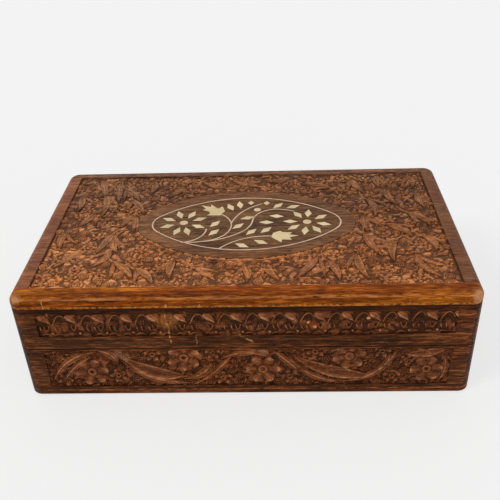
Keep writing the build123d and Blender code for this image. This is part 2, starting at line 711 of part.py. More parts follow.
for name, level in {"base_floor_lining": BOTTOM_THICKNESS, "lid_ceiling_lining": RAIL_LEVEL - LINING}.items():
    with BuildPart() as lining:
        with BuildSketch(Plane.XY.offset(level)):
            Rectangle(INNER_LENGTH, INNER_DEPTH)
        extrude(amount=LINING)
    pieces[name] = lining


# ---- write every piece ---------------------------------------------------------------------------
os.makedirs("parts", exist_ok=True)
for name, piece in pieces.items():
    piece.part.label = name
    export_step(piece.part, f"parts/{name}.step")
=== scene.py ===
import random
from math import atan2, cos, hypot, pi, radians, sin

import bmesh
import bpy
from mathutils import Matrix, Vector, kdtree
from mathutils import noise as lumps


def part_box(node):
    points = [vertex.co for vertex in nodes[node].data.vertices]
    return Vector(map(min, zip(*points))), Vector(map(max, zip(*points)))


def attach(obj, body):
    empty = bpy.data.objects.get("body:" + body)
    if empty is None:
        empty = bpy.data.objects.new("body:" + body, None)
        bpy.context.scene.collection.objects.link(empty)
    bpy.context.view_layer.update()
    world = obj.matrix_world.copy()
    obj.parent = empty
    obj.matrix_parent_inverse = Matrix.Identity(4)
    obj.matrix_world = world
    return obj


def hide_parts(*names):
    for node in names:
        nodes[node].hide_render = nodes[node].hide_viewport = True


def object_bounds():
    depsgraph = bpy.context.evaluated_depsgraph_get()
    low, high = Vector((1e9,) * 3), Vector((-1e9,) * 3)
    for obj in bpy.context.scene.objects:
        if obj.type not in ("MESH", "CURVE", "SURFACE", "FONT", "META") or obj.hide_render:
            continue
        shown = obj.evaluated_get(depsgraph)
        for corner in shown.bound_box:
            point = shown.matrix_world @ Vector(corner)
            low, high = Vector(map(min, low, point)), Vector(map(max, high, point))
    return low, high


# A carved sheesham keepsake box with a hinged lid and bone let into its top. Metres, in the frame of
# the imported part: the origin is at the middle of the underside, the front faces -Y and +Z is up.
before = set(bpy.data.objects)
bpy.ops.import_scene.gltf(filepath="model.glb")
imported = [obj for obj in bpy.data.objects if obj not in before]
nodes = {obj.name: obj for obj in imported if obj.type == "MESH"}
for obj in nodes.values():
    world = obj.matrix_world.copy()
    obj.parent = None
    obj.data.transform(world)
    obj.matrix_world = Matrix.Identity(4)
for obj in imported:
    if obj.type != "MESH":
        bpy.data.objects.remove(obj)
cad_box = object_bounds()
scene = bpy.context.scene
scene.view_settings.view_transform = "Standard"
MM = 0.001


# ---- the stand for the picture: camera, pale table, daylight ----
# The camera looks down on the front of the box from a little right of its middle. Table and room are
# one pale grey; a soft sun stands high at the left and a weaker one at the right, and the sky does
# the rest.
CAMERA_PLACE = Vector((17.69, -362.72, 288.39)) * MM
CAMERA_YAW, CAMERA_PITCH, CAMERA_ROLL = radians(-2.599), radians(33.194), radians(-2.291)
PALE = (0.90, 0.90, 0.90, 1)
TABLE_RADIUS = 14

aim = Vector(
    (sin(CAMERA_YAW) * cos(CAMERA_PITCH), cos(CAMERA_YAW) * cos(CAMERA_PITCH), -sin(CAMERA_PITCH))
)
level = Vector((cos(CAMERA_YAW), -sin(CAMERA_YAW), 0))
upright = level.cross(aim)
right = cos(CAMERA_ROLL) * level + sin(CAMERA_ROLL) * upright
up = cos(CAMERA_ROLL) * upright - sin(CAMERA_ROLL) * level
camera = bpy.data.objects.new("camera", bpy.data.cameras.new("camera"))
camera.data.sensor_width = 36
camera.data.lens = 49.61
camera.data.clip_start = 0.01
camera.matrix_world = Matrix.Translation(CAMERA_PLACE) @ Matrix((right, up, -aim)).transposed().to_4x4()
scene.collection.objects.link(camera)
scene.camera = camera


def sun(name, direction, strength, spread, colour):
    """A soft distant lamp that shines along a direction."""
    lamp = bpy.data.objects.new(name, bpy.data.lights.new(name, "SUN"))
    lamp.data.energy = strength
    lamp.data.angle = radians(spread)
    lamp.data.color = colour
    lamp.rotation_euler = Vector(direction).to_track_quat("-Z", "Y").to_euler()
    scene.collection.objects.link(lamp)


sun("window_light", (0.75, 0.45, -0.8), 0.95, 18, (1, 0.98, 0.95))
sun("lamp_light", (-0.35, 0.9, -0.75), 0.35, 40, (1, 0.97, 0.93))


def node(tree, kind, **settings):
    """A shader node; lower-case names are its settings and the others are its sockets."""
    made = tree.nodes.new(kind)
    for name, value in settings.items():
        if hasattr(made, name):
            setattr(made, name, value)
        else:
            made.inputs[name].default_value = value
    return made


def plug(value, socket):
    """Links a socket or sets a plain value."""
    if isinstance(value, bpy.types.NodeSocket):
        socket.id_data.links.new(value, socket)
    else:
        socket.default_value = value


def step_after(values, sockets, kind, **settings):
    """A node in the tree that the values come from, with the values plugged into its sockets."""
    tree = next(value.id_data for value in values if isinstance(value, bpy.types.NodeSocket))
    step = node(tree, kind, **settings)
    for value, socket in zip(values, sockets):
        plug(value, step.inputs[socket])
    return step


def calc(operation, *values):
    """One step of arithmetic."""
    return step_after(values, range(3), "ShaderNodeMath", operation=operation).outputs[0]


def shown_plainly(tree, share):
    """How much of its plain colour a pale surface shows to the camera and to what mirrors it."""
    ray = node(tree, "ShaderNodeLightPath")
    seen = calc("MAXIMUM", ray.outputs["Is Camera Ray"], ray.outputs["Is Glossy Ray"])
    seen = calc("MAXIMUM", seen, ray.outputs["Is Transmission Ray"])
    return calc("MULTIPLY", seen, share)


def either(tree, share, first, second, surface):
    """Shows the first of two shaders, or as much of the second as share says."""
    choice = node(tree, "ShaderNodeMixShader")
    for output, socket in zip((share, first.outputs[0], second.outputs[0]), choice.inputs):
        tree.links.new(output, socket)
    tree.links.new(choice.outputs[0], surface.inputs["Surface"])


world = bpy.data.worlds.new("daylight")
scene.world = world
world.use_nodes = True
sky = world.node_tree
sky.nodes.clear()
light_from_sky = node(sky, "ShaderNodeBackground", Color=(0.985, 0.99, 1, 1), Strength=0.72)
room = node(sky, "ShaderNodeBackground", Color=PALE, Strength=1.0)
either(sky, shown_plainly(sky, 1.0), light_from_sky, room, node(sky, "ShaderNodeOutputWorld"))


def new_material(name):
    """A material and its node tree."""
    material = bpy.data.materials.new(name)
    material.use_nodes = True
    return material, material.node_tree


def feed(tree, **sockets):
    """Gives the shader its values; Base_Color stands for its Base Color."""
    shader = tree.nodes["Principled BSDF"]
    for name, value in sockets.items():
        plug(value, shader.inputs[name.replace("_", " ")])


def finished_mesh(form, name, *materials):
    """Turns a form into a mesh with its materials."""
    mesh = bpy.data.meshes.new(name)
    form.to_mesh(mesh)
    form.free()
    for material in materials:
        mesh.materials.append(material)
    return mesh


def new_piece(form, name, *materials):
    """Turns a form into a piece of the scene."""
    piece = bpy.data.objects.new(name, finished_mesh(form, name, *materials))
    scene.collection.objects.link(piece)
    return piece


table_paint, tree = new_material("table_paint")
feed(tree, Base_Color=PALE, Roughness=0.9, Specular_IOR_Level=0.1)
plain_pale = node(tree, "ShaderNodeEmission", Color=PALE, Strength=1.0)
painted = tree.nodes["Principled BSDF"]
either(tree, shown_plainly(tree, 0.75), painted, plain_pale, tree.nodes["Material Output"])
form = bmesh.new()
bmesh.ops.create_circle(form, cap_ends=True, segments=48, radius=TABLE_RADIUS)
table_top = new_piece(form, "table_top", table_paint)


# ---- boards of the base and of the lid's sides ----
# Four sheesham boards round the base and four round the lid, lapped and glued, with rounded corners.
# The wood is dark brown with nearly black figure and open pores; it was waxed, and hands have worn
# its edges lighter.
def fade(value, start, end, low=0.0, high=1.0):
    """Runs smoothly from low to high as value goes from start to end."""
    sockets = ("Value", "From Min", "From Max", "To Min", "To Max")
    values = (value, start, end, low, high)
    return step_after(values, sockets, "ShaderNodeMapRange", interpolation_type="SMOOTHSTEP").outputs[0]


def mix(share, first, second, blend_type="MIX"):
    """Colour mixed from first to second."""
    values = (share, first, second)
    step = step_after(values, (0, 6, 7), "ShaderNodeMix", data_type="RGBA", blend_type=blend_type)
    return step.outputs[2]


def noise(vector, scale, detail=2.0, distortion=0.0, roughness=0.5):
    """Noise on a vector stretched by three scales per metre."""
    place = step_after((vector, scale), ("Vector", "Scale"), "ShaderNodeMapping").outputs
    look = {"Scale": 1.0, "Detail": detail, "Distortion": distortion, "Roughness": roughness}
    return step_after(place, ("Vector",), "ShaderNodeTexNoise", **look).outputs["Fac"]


def measure(operation, first, second):
    """A distance or a dot product of two vectors."""
    step = step_after((first, second), (0, 1), "ShaderNodeVectorMath", operation=operation)
    return step.outputs["Value"]


def axes(vector):
    """The three parts of a place."""
    return step_after((vector,), (0,), "ShaderNodeSeparateXYZ").outputs


def paint(red, green, blue):
    """A colour picked on a screen, as the renderer counts it."""
    return tuple(
        (part / 255 / 12.92 if part <= 10 else ((part / 255 + 0.055) / 1.055) ** 2.4)
        for part in (red, green, blue)
    ) + (1,)


def group(name, inputs, outputs):
    """A shader node group, with the sockets that bring values into it and take them out."""
    tree = bpy.data.node_groups.new(name, "ShaderNodeTree")
    for direction, sockets in (("INPUT", inputs), ("OUTPUT", outputs)):
        for socket, kind in sockets.items():
            tree.interface.new_socket(socket, in_out=direction, socket_type=f"NodeSocket{kind}")
    return tree, node(tree, "NodeGroupInput").outputs, node(tree, "NodeGroupOutput").inputs


def effect(name, **inputs):
    """A group that changes the colour of a finish from place to place: the group, the sockets that
    bring it values, the place, the colour as it was, and the socket for the new colour."""
    tree, given, result = group(
        name, {"Color": "Color", "Vector": "Vector", **inputs}, {"Color": "Color"}
    )
    return tree, given, given["Vector"], given["Color"], result["Color"]


# figure, fine lines and pores of sheesham; the grain runs along the vector's x
sheesham, given, result = group(
    "sheesham_grain",
    {"Vector": "Vector", "Dark": "Color", "Middle": "Color", "Light": "Color", "Figure": "Float"},
    {"Color": "Color", "Roughness": "Float", "Height": "Float"},
)
along = given["Vector"]
streaks = noise(along, (8, 110, 110), detail=3, distortion=0.9)
lines = noise(along, (26, 560, 560), detail=4, roughness=0.6)
fine_lines = noise(along, (150, 1150, 1150), detail=3, roughness=0.7)
patches = noise(along, (30, 60, 60), detail=3)
pores = fade(noise(along, (110, 1900, 1900), detail=1), 0.55, 0.68)
tone = 0.5
for layer, strength in ((streaks, 0.9), (lines, 1.9), (fine_lines, 2.7), (patches, 0.9)):
    tone = calc("MULTIPLY_ADD", calc("SUBTRACT", layer, 0.5), strength, tone)
tone = calc("MULTIPLY_ADD", calc("SUBTRACT", tone, 0.5), given["Figure"], 0.5)
wood = mix(fade(tone, 0.0, 0.5), given["Dark"], given["Middle"])
wood = mix(fade(tone, 0.5, 1.0), wood, given["Light"])
hue = fade(noise(along, (18, 70, 70), detail=3, distortion=0.6), 0.36, 0.64)
hue = mix(hue, (1.08, 1.0, 0.88, 1), (0.98, 0.96, 1.04, 1))
wood = mix(1.0, wood, hue, blend_type="MULTIPLY")
shade = calc("MULTIPLY_ADD", pores, -0.5, 1.0)
wood = mix(1.0, wood, shade, blend_type="MULTIPLY")
plug(wood, result["Color"])
plug(calc("MULTIPLY_ADD", lines, 0.24, 0.40), result["Roughness"])
ridges = calc("MULTIPLY_ADD", pores, -0.8, calc("MULTIPLY", lines, 0.6))
plug(ridges, result["Height"])

# carved wood: old wax and painted shade darken the low parts, and the highest are rubbed pale, with a painted
# highlight, and mottled
GROUND_DEPTH = 1.3 * MM
# the dark of old wax, also painted as shade in the hollows, and the pale of rubbed wood, also painted as a
# highlight on the crests
WAX_AND_PAINTED_SHADE, PALE_RUB_AND_HIGHLIGHT = paint(22, 12, 7), paint(196, 142, 100)
carved, given, place, colour, result = effect(
    "carved", Axis="Vector", Ground="Float", Grime="Float", Crest="Float", Mottle="Float"
)
out = calc("ABSOLUTE", measure("DOT_PRODUCT", place, given["Axis"]))
rise = calc("SUBTRACT", out, given["Ground"])
clear_of_wax_and_shade = fade(rise, 0.1 * GROUND_DEPTH, 0.75 * GROUND_DEPTH)
clear_of_wax_and_shade = calc("MAXIMUM", clear_of_wax_and_shade, fade(rise, -0.6 * MM, -0.3 * MM, 1.0, 0.0))
clear_of_wax_and_shade = calc("MULTIPLY_ADD", clear_of_wax_and_shade, given["Grime"], calc("SUBTRACT", 1.0, given["Grime"]))
# painted shade with old wax: the nearer a point is to the ground, the darker it is painted
wood = mix(clear_of_wax_and_shade, WAX_AND_PAINTED_SHADE, colour)
rubbed = noise(place, (330, 330, 330), detail=3, roughness=0.6)
tip = fade(rise, 0.6 * GROUND_DEPTH, 0.92 * GROUND_DEPTH)
tip = calc("MULTIPLY", tip, fade(rubbed, 0.38, 0.6))
# painted highlight with rubbing: the highest points of the carving are painted pale, broken up by noise
wood = mix(calc("MULTIPLY", tip, given["Crest"]), wood, PALE_RUB_AND_HIGHLIGHT)
mottled = noise(place, (150, 150, 150), detail=5, roughness=0.7)
mottled = mix(fade(mottled, 0.36, 0.64), (0.8, 0.8, 0.86, 1), (1.2, 1.19, 1.12, 1))
plug(mix(given["Mottle"], wood, mottled, blend_type="MULTIPLY"), result)

# the outer edges of the box, rubbed pale and broken up as handling breaks them up
BOX_HALF = ((cad_box[1][0] - cad_box[0][0]) / 2, (cad_box[1][1] - cad_box[0][1]) / 2)
BOX_HEIGHT = cad_box[1][2]
edge_wear, given, place, colour, result = effect("edge_wear", Reach="Float", Amount="Float", Pale="Color")
part = axes(place)
gap_x = calc("SUBTRACT", BOX_HALF[0], calc("ABSOLUTE", part["X"]))
gap_y = calc("SUBTRACT", BOX_HALF[1], calc("ABSOLUTE", part["Y"]))
gap_z = calc("SUBTRACT", BOX_HEIGHT, part["Z"])
nearest = calc("MINIMUM", gap_x, gap_y)
farther = calc("MAXIMUM", gap_x, gap_y)
second = calc("MAXIMUM", nearest, calc("MINIMUM", farther, gap_z))
rubbed = noise(place, (90, 90, 90), detail=4, roughness=0.65)
reach = calc("MULTIPLY", given["Reach"], calc("MULTIPLY", rubbed, 2.0))
worn = calc("MULTIPLY", fade(second, reach, 0.0), given["Amount"])
plug(mix(worn, colour, given["Pale"]), result)

# scattered pale scratches, upright on the sides of the box and no more than specks on its top
scratches, given, place, colour, result = effect("scratches", Amount="Float")
thin = noise(place, (1500, 1500, 26), detail=2, distortion=0.2)
where = noise(place, (60, 60, 34), detail=2)
limit = calc("MULTIPLY_ADD", given["Amount"], -0.12, 0.78)
thin = fade(thin, limit, calc("ADD", limit, 0.05))
scratched = calc("MULTIPLY", thin, fade(where, 0.5, 0.64))
scratched = calc("MULTIPLY", scratched, 0.6)
plug(mix(scratched, colour, PALE_RUB_AND_HIGHLIGHT), result)

# a tint that changes from one colour to another along a direction
tint, given, place, colour, result = effect(
    "tint", Direction="Vector", Start="Float", Stop="Float", First="Color", Last="Color"
)
along = measure("DOT_PRODUCT", place, given["Direction"])
shade = mix(fade(along, given["Start"], given["Stop"]), given["First"], given["Last"])
plug(mix(1.0, colour, shade, blend_type="MULTIPLY"), result)

# flecks in a band that runs level round the box, between two heights
flecks, given, place, colour, result = effect(
    "flecks", Low="Float", High="Float", Fleck="Color", Share="Float", Density="Vector"
)
height = axes(place)["Z"]
rim = calc("MULTIPLY", calc("SUBTRACT", given["High"], given["Low"]), 0.4)
lower = fade(height, given["Low"], calc("ADD", given["Low"], rim))
upper = fade(height, given["High"], calc("SUBTRACT", given["High"], rim))
broken = noise(place, given["Density"], detail=3, roughness=0.6)
broken = fade(broken, 0.42, 0.58, 0.0, given["Share"])
broken = calc("MULTIPLY", calc("MULTIPLY", lower, upper), broken)
plug(mix(broken, colour, given["Fleck"]), result)

# a ragged spot where the finish has stained or worn
stain, given, place, colour, result = effect(
    "stain", Middle="Vector", Radius="Float", Stained="Color", Share="Float"
)
ragged = noise(place, (600, 600, 600), detail=4, roughness=0.75)
away = measure("DISTANCE", place, given["Middle"])
away = calc("MULTIPLY_ADD", ragged, calc("MULTIPLY", given["Radius"], 1.6), away)
clear, full = (calc("MULTIPLY", given["Radius"], share) for share in (1.9, 1.2))
spot = fade(away, clear, full, 0.0, given["Share"])
plug(mix(spot, colour, given["Stained"]), result)


def front_scratches(name, strokes):
    """Long pale scratches on the front: across, low end, high end, width and lean, in millimetres."""
    tree, _, place, colour, result = effect(name)
    part = axes(place)
    broken = fade(noise(place, (300, 300, 620), detail=4, roughness=0.7), 0.42, 0.6)
    wander = noise(place, (160, 160, 260), detail=2)
    wander = calc("MULTIPLY_ADD", wander, 2.2 * MM, calc("SUBTRACT", part["X"], 1.1 * MM))
    total = 0.0
    for across, low, high, width, lean in strokes:
        middle = calc("MULTIPLY_ADD", part["Z"], lean, across * MM - lean * (low + high) / 2 * MM)
        away = calc("ABSOLUTE", calc("SUBTRACT", wander, middle))
        line = fade(away, width / 2 * MM, 0.0)
        for end, inner in ((low, low + 1), (high, high - 1)):
            line = calc("MULTIPLY", line, fade(part["Z"], end * MM, inner * MM))
        total = calc("MAXIMUM", total, line)
    for share in (fade(part["Y"], -60 * MM, -65 * MM), broken, 0.95):
        total = calc("MULTIPLY", total, share)
    plug(mix(total, colour, paint(196, 142, 92)), result)
    return tree


def place_on_box(tree):
    """Where a point of the surface is on the box."""
    made = tree.nodes.get("Texture Coordinate") or node(tree, "ShaderNodeTexCoord")
    return made.outputs["Object"]


def lay(material, over, **values):
    """Puts one more effect over the colour of a finish."""
    tree = material.node_tree
    colour = tree.nodes["Principled BSDF"].inputs["Base Color"]
    step = node(tree, "ShaderNodeGroup", node_tree=over, **values)
    tree.links.new(place_on_box(tree), step.inputs["Vector"])
    tree.links.new(colour.links[0].from_socket, step.inputs["Color"])
    tree.links.new(step.outputs["Color"], colour)


def tinted(material, direction, start, stop, last, first=(1, 1, 1)):
    """Tints a finish from first to last between two distances along a direction, in millimetres."""
    ends = {"First": (*first, 1), "Last": (*last, 1)}
    lay(material, tint, Direction=direction, Start=start * MM, Stop=stop * MM, **ends)


def flecked(material, low, high, fleck, share, density=(260, 260, 900)):
    """Flecks a finish between two heights in millimetres."""
    lay(material, flecks, Low=low * MM, High=high * MM, Fleck=paint(*fleck), Share=share, Density=density)


def stained(material, middle, radius, colour, share):
    """Stains a finish round a place in millimetres."""
    lay(material, stain, Middle=Vector(middle) * MM, Radius=radius * MM, Stained=paint(*colour), Share=share)


def roughen(height, strength, distance):
    """The small relief of the surface itself."""
    bump = step_after((height,), ("Height",), "ShaderNodeBump", Strength=strength, Distance=distance)
    feed(height.id_data, Normal=bump.outputs[0])


def wood_finish(
    name, *tones, grain="X", shift=0.0, figure=1.0, relief=None, grime_and_shade=0.6, rub_and_highlight=0.0, worn=0.5, reach=2.0
):
    """Waxed sheesham in three tones, from dark to light. relief gives the axis across a carved face
    and the height of its ground, grime says how dark the ground is painted, as old wax and as painted
    shade, and crest how far the highest parts are painted pale, as rubbed wood and as a painted highlight."""
    material, tree = new_material(name)
    tones = [paint(*tone) for tone in tones]
    place = (shift, shift * 0.7, shift * 0.4)
    turn = (0, 0, radians(90) if grain == "Y" else 0)
    board = node(tree, "ShaderNodeMapping", Location=place, Rotation=turn)
    tree.links.new(place_on_box(tree), board.inputs["Vector"])
    sockets = ("Vector", "Dark", "Middle", "Light", "Figure")
    values = (board.outputs[0], *tones, figure)
    figured = step_after(values, sockets, "ShaderNodeGroup", node_tree=sheesham)
    feed(tree, Base_Color=figured.outputs["Color"], Roughness=figured.outputs["Roughness"])
    feed(tree, Specular_IOR_Level=0.1)
    roughen(figured.outputs["Height"], 0.4, 0.3 * MM)
    if relief:
        axis, ground = relief
        lay(material, carved, Axis=axis, Ground=ground, Grime=grime_and_shade, Crest=rub_and_highlight, Mottle=float(rub_and_highlight > 0))
    pale = [0.4 * light + 0.6 * rubbed for light, rubbed in zip(tones[2], PALE_RUB_AND_HIGHLIGHT)]
    lay(material, edge_wear, Reach=reach * MM, Amount=worn, Pale=pale)
    lay(material, scratches, Amount=worn)
    return material


def finish_node(material, *names):
    """Gives CAD pieces their finish."""
    for name in names:
        slots = nodes[name].material_slots
        if not slots:
            nodes[name].data.materials.append(material)
        for slot in slots:
            slot.material = material


WALL_DARK = (36, 17, 7)
LONG_RELIEF = ((0, 1, 0), BOX_HALF[1] - GROUND_DEPTH)
END_RELIEF = ((1, 0, 0), BOX_HALF[0] - GROUND_DEPTH)
long_board_wood = wood_finish(
    "long_board_wood", WALL_DARK, (70, 36, 15), (118, 68, 36), figure=0.95, relief=LONG_RELIEF
)
end_board_wood = wood_finish(
    "end_board_wood", WALL_DARK, (92, 56, 38), (142, 96, 68), grain="Y", shift=0.31, relief=END_RELIEF
)
finish_node(long_board_wood, "base_front_wall", "base_back_wall", "lid_front_wall", "lid_back_wall")
finish_node(end_board_wood, "base_left_wall", "base_right_wall", "lid_left_wall", "lid_right_wall")
for material in (long_board_wood, end_board_wood):
    # painted shade, with old wax and dust, darkens the walls under the edge of the rails, and the foot of the
    # box has rubbed redder
    tinted(material, (0, 0, 1), 59.2, 60.4, (0.33, 0.25, 0.2))
    tinted(material, (0, 0, 1), 4.6, 3.8, (1.34, 1.12, 0.86))
    flecked(material, 3.6, 4.6, (170, 100, 52), 0.7)
tinted(end_board_wood, (1, 0, 0), 110, 125, (1.34, 1.3, 1.2))
# dirt has gathered along the seam under the lid, and the right end and a corner have faded
flecked(long_board_wood, 34.7, 36.2, (34, 17, 10), 0.85, (24, 200, 600))
tinted(long_board_wood, (1, 0, 0), 100, 122, (1.5, 1.45, 1.45))
tinted(long_board_wood, (-0.9, 0, 1), 154, 168, (1.8, 1.8, 1.5))
WORN_SPOT = ((-42, -74, 54), 7, (150, 92, 44), 0.6)
stained(long_board_wood, *WORN_SPOT)
wall_scratches = front_scratches(
    "wall_scratches",
    (
        (-41.7, 38.7, 62.0, 1.4, -0.10),
        (-39.5, 50.0, 60.0, 0.9, 0.1),
        (-31.5, 57.5, 61.5, 0.8, 0.0),
        (-26.7, 37.0, 45.0, 0.9, 0.0),
        (3.3, 38.4, 41.4, 2.6, -0.6),
        (-1.2, 39.6, 46.4, 1.6, -1.5),
        (-106.5, 56.0, 61.5, 0.7, 0.0),
    ),
)
lay(long_board_wood, wall_scratches)


# ---- carving on the base ----
# Long leaves in a wave with flowers and small florets between them, left standing when the ground is
# cut away. The carver scoops each petal with a gouge and drills the middle of each flower.
FOOT = -0.1 * MM  # each carved form goes this far below the ground
FOOT_HEIGHT = -0.1  # the same in the millimetres of a flower's heights
GROUND_SKIN = 0.06 * MM  # the gouged ground lies at least this far above the board's own


def verts_of(made):
    """The vertices among the things that an operator made."""
    return [item for item in made if isinstance(item, bmesh.types.BMVert)]


def edges_of(made):
    """The edges among the things that an operator made."""
    return [item for item in made if isinstance(item, bmesh.types.BMEdge)]


def closed_mesh(form, name):
    """Fills what is open in a form, turns its faces outwards and makes it a mesh."""
    bmesh.ops.holes_fill(form, edges=form.edges, sides=0)
    bmesh.ops.recalc_face_normals(form, faces=form.faces)
    return finished_mesh(form, name)


def flower_shape(name, petals, steps, *rings):
    """A flower of radius 1 on its ground, with some steps to a petal. A ring is two radii, at a petal
    and at a notch, and two heights."""
    form = bmesh.new()
    bmesh.ops.create_circle(form, segments=petals * steps, radius=1.0)
    edges = form.edges[:]
    for number, (tip_radius, notch_radius, tip_height, notch_height) in enumerate(rings):
        if number:
            bmesh.ops.extrude_edge_only(form, edges=edges)
        form.verts.ensure_lookup_table()
        verts = form.verts[-petals * steps :]
        chosen = set(verts)
        edges = [edge for edge in form.edges if chosen.issuperset(edge.verts)]
        for vert in verts:
            angle = atan2(vert.co.y, vert.co.x)
            petal = (1 + cos(petals * angle)) / 2
            reach = notch_radius + (tip_radius - notch_radius) * petal**0.45
            height = notch_height + (tip_height - notch_height) * petal
            vert.co = (reach * cos(angle), reach * sin(angle), height)
    return closed_mesh(form, name)


def set_in(carving, shape, x, y, size, height=1.0, turn=0.0):
    """Adds a ready shape to the carving at x, y, scaled to a size and a height, and turned."""
    start = len(carving.verts)
    carving.from_mesh(shape)
    carving.verts.ensure_lookup_table()
    scaling = Matrix.Diagonal((size, size, height, 1))
    place = Matrix.Translation((x, y, 0)) @ Matrix.Rotation(turn, 4, "Z") @ scaling
    for vert in carving.verts[start:]:
        vert.co = place @ vert.co


def curve_point(first, bend, last, share):
    """A point of the curve that bends from first past bend to last."""
    return (1 - share) ** 2 * first + 2 * share * (1 - share) * bend + share**2 * last


def ribbon_shape(name, points, width, section, steps, taper):
    """A leaf or a stem: a strip that bends from the first point past the second to the third."""
    first, bend, last = (Vector(point) for point in points)
    columns = len(section) - 1
    form = bmesh.new()
    bmesh.ops.create_grid(form, x_segments=steps, y_segments=columns, size=1.0)
    for vert in form.verts:
        along = (vert.co.x + 1) / 2
        across, height = section[round((vert.co.y + 1) / 2 * columns)]
        middle = curve_point(first, bend, last, along)
        ahead = ((1 - along) * (bend - first) + along * (last - bend)).normalized()
        half = width / 2 * taper(along) * across
        vert.co = (middle.x - ahead.y * half, middle.y + ahead.x * half, height)
    rim = [edge for edge in form.edges if edge.is_boundary]
    for vert in verts_of(bmesh.ops.extrude_edge_only(form, edges=rim)["geom"]):
        vert.co.z = FOOT
    return closed_mesh(form, name)


def carve_ribbon(carving, points, width, section, steps, taper):
    """Adds one leaf or stem to the carving."""
    strip = ribbon_shape("strip", points, width, section, steps, taper)
    carving.from_mesh(strip)
    bpy.data.meshes.remove(strip)


def leaf_taper(along):
    """Pointed at the stalk and at the tip, full before the middle."""
    return max(sin(pi * along**0.8), 0.0) ** 1.15 * 0.95 + 0.05


def blade_taper(along):
    """Thin at the stalk, fullest past the middle, pointed at the tip."""
    return max(sin(pi * along**1.35), 0.0) ** 0.9 * 0.95 + 0.05


def stem_taper(along):
    """Even all along."""
    return 1.0


def heights(*pairs):
    """A cross-section: distance across as a share of half the width, and height in millimetres."""
    return [(across, height * MM) for across, height in pairs]


VEINED = heights((-1, 0.95), (-0.5, 0.6), (0, 1.24), (0.5, 0.6), (1, 0.95))
SCOOPED = heights((-1, 1.2), (-0.45, 0.6), (0.15, 0.5), (0.65, 0.85), (1, 1.22))
CHIP = heights((-1, 0.35), (0, 0.95), (1, 0.3))

big_flower = flower_shape(
    "big_flower", 6, 8,
    (1.04, 0.68, FOOT_HEIGHT, FOOT_HEIGHT),
    (1.01, 0.64, 1.15, 0.3),
    (0.92, 0.56, 1.2, 0.3),
    (0.80, 0.50, 0.95, 0.3),
    (0.60, 0.44, 0.8, 0.3),
    (0.40, 0.37, 0.85, 0.5),
    (0.32, 0.32, 0.28, 0.2),
    (0.28, 0.28, 0.8, 0.8),
    (0.20, 0.20, 0.95, 0.95),
    (0.12, 0.12, 0.75, 0.75),
    (0.09, 0.09, 0.1, 0.1),
)
floret = flower_shape(
    "floret", 5, 4,
    (1.00, 0.54, FOOT_HEIGHT, FOOT_HEIGHT),
    (0.95, 0.50, 1.18, 0.2),
    (0.80, 0.44, 1.1, 0.15),
    (0.52, 0.36, 0.5, 0.12),
    (0.34, 0.30, 0.5, 0.4),
    (0.25, 0.25, 1.12, 1.12),
    (0.12, 0.12, 0.2, 0.2),
)
small_floret = flower_shape(
    "small_floret", 5, 2,
    (1.00, 0.56, FOOT_HEIGHT, FOOT_HEIGHT),
    (0.88, 0.50, 1.15, 0.3),
    (0.50, 0.36, 0.35, 0.1),
    (0.28, 0.28, 1.0, 1.0),
    (0.12, 0.12, 0.2, 0.2),
)
chips = [
    ribbon_shape(f"chip_{number}", ((-0.5, 0), (0, bend), (0.5, 0)), 0.42, CHIP, 4, leaf_taper)
    for number, bend in enumerate((-0.3, 0.0, 0.3))
]

# flowers and leaves of the long bands, from the middle of the wall and from the table, in millimetres:
# place, radius and turn of the large flowers, place and radius of the others, and three points and
# the width of the leaves
BASE_FLOWERS = (
    (-88.3, 17.5, 9.6, 10),
    (-35.0, 27.6, 9.6, 25),
    (9.2, 18.6, 9.8, 0),
    (57.5, 27.8, 9.4, 15),
    (100.8, 18.0, 9.2, 5),
)
BASE_SMALL_FLOWERS = (
    (-73.5, 14.8, 5.2),
    (-104.5, 12.0, 4.6),
    (-52.5, 30.2, 5.0),
    (-18.5, 31.0, 4.6),
    (-13.5, 12.4, 5.2),
    (24.5, 13.0, 5.2),
    (38.5, 31.0, 5.2),
    (75.5, 31.2, 5.0),
    (82.0, 12.8, 5.0),
    (89.0, 24.5, 4.0),
    (-100.0, 27.5, 4.4),
)
BASE_BLADES = (
    ((-112.5, 8.5), (-104.0, 30.0), (-84.0, 32.5), 4.4),
    ((-106.5, 8.0), (-100.0, 22.0), (-88.0, 28.5), 3.6),
    ((-84.0, 34.0), (-76.0, 33.0), (-72.0, 24.5), 4.6),
    ((-72.0, 31.5), (-56.0, 14.0), (-36.0, 14.5), 8.5),
    ((-70.0, 26.0), (-58.0, 9.0), (-33.0, 9.0), 4.2),
    ((-36.0, 12.0), (-24.0, 13.0), (-19.5, 24.0), 5.0),
    ((-30.0, 8.0), (-18.0, 14.0), (-7.0, 31.0), 3.4),
    ((-8.0, 30.0), (4.0, 38.0), (14.0, 27.5), 5.6),
    ((-14.0, 27.0), (-4.0, 33.0), (4.0, 29.5), 3.4),
    ((14.0, 33.5), (21.0, 27.0), (30.0, 17.0), 4.0),
    ((26.0, 29.5), (42.0, 15.0), (70.0, 13.2), 8.0),
    ((21.0, 33.5), (32.0, 9.5), (54.0, 9.4), 3.6),
    ((54.0, 9.4), (74.0, 9.5), (84.0, 33.0), 4.0),
    ((70.0, 14.0), (79.0, 19.0), (80.0, 30.0), 4.4),
    ((86.0, 30.0), (98.0, 28.0), (110.0, 33.0), 5.2),
    ((92.0, 33.0), (100.0, 33.0), (104.0, 27.0), 3.0),
    ((108.0, 9.0), (113.0, 16.0), (110.0, 27.0), 3.4),
    ((38.0, 24.0), (46.0, 20.0), (50.0, 17.0), 3.0),
)
SCOOPED_FROM = 5  # a wider leaf is scooped instead of veined
GROOVE = 0.9 * MM
CHIPS_PER_MM, FLORET_TRIES_PER_MM = 3, 40  # for each millimetre of half the band
FLORET_ROOM = 0.75  # florets may overlap by a quarter


def any_turn(pick):
    """A turn drawn at random."""
    return pick.uniform(0, 2 * pi)


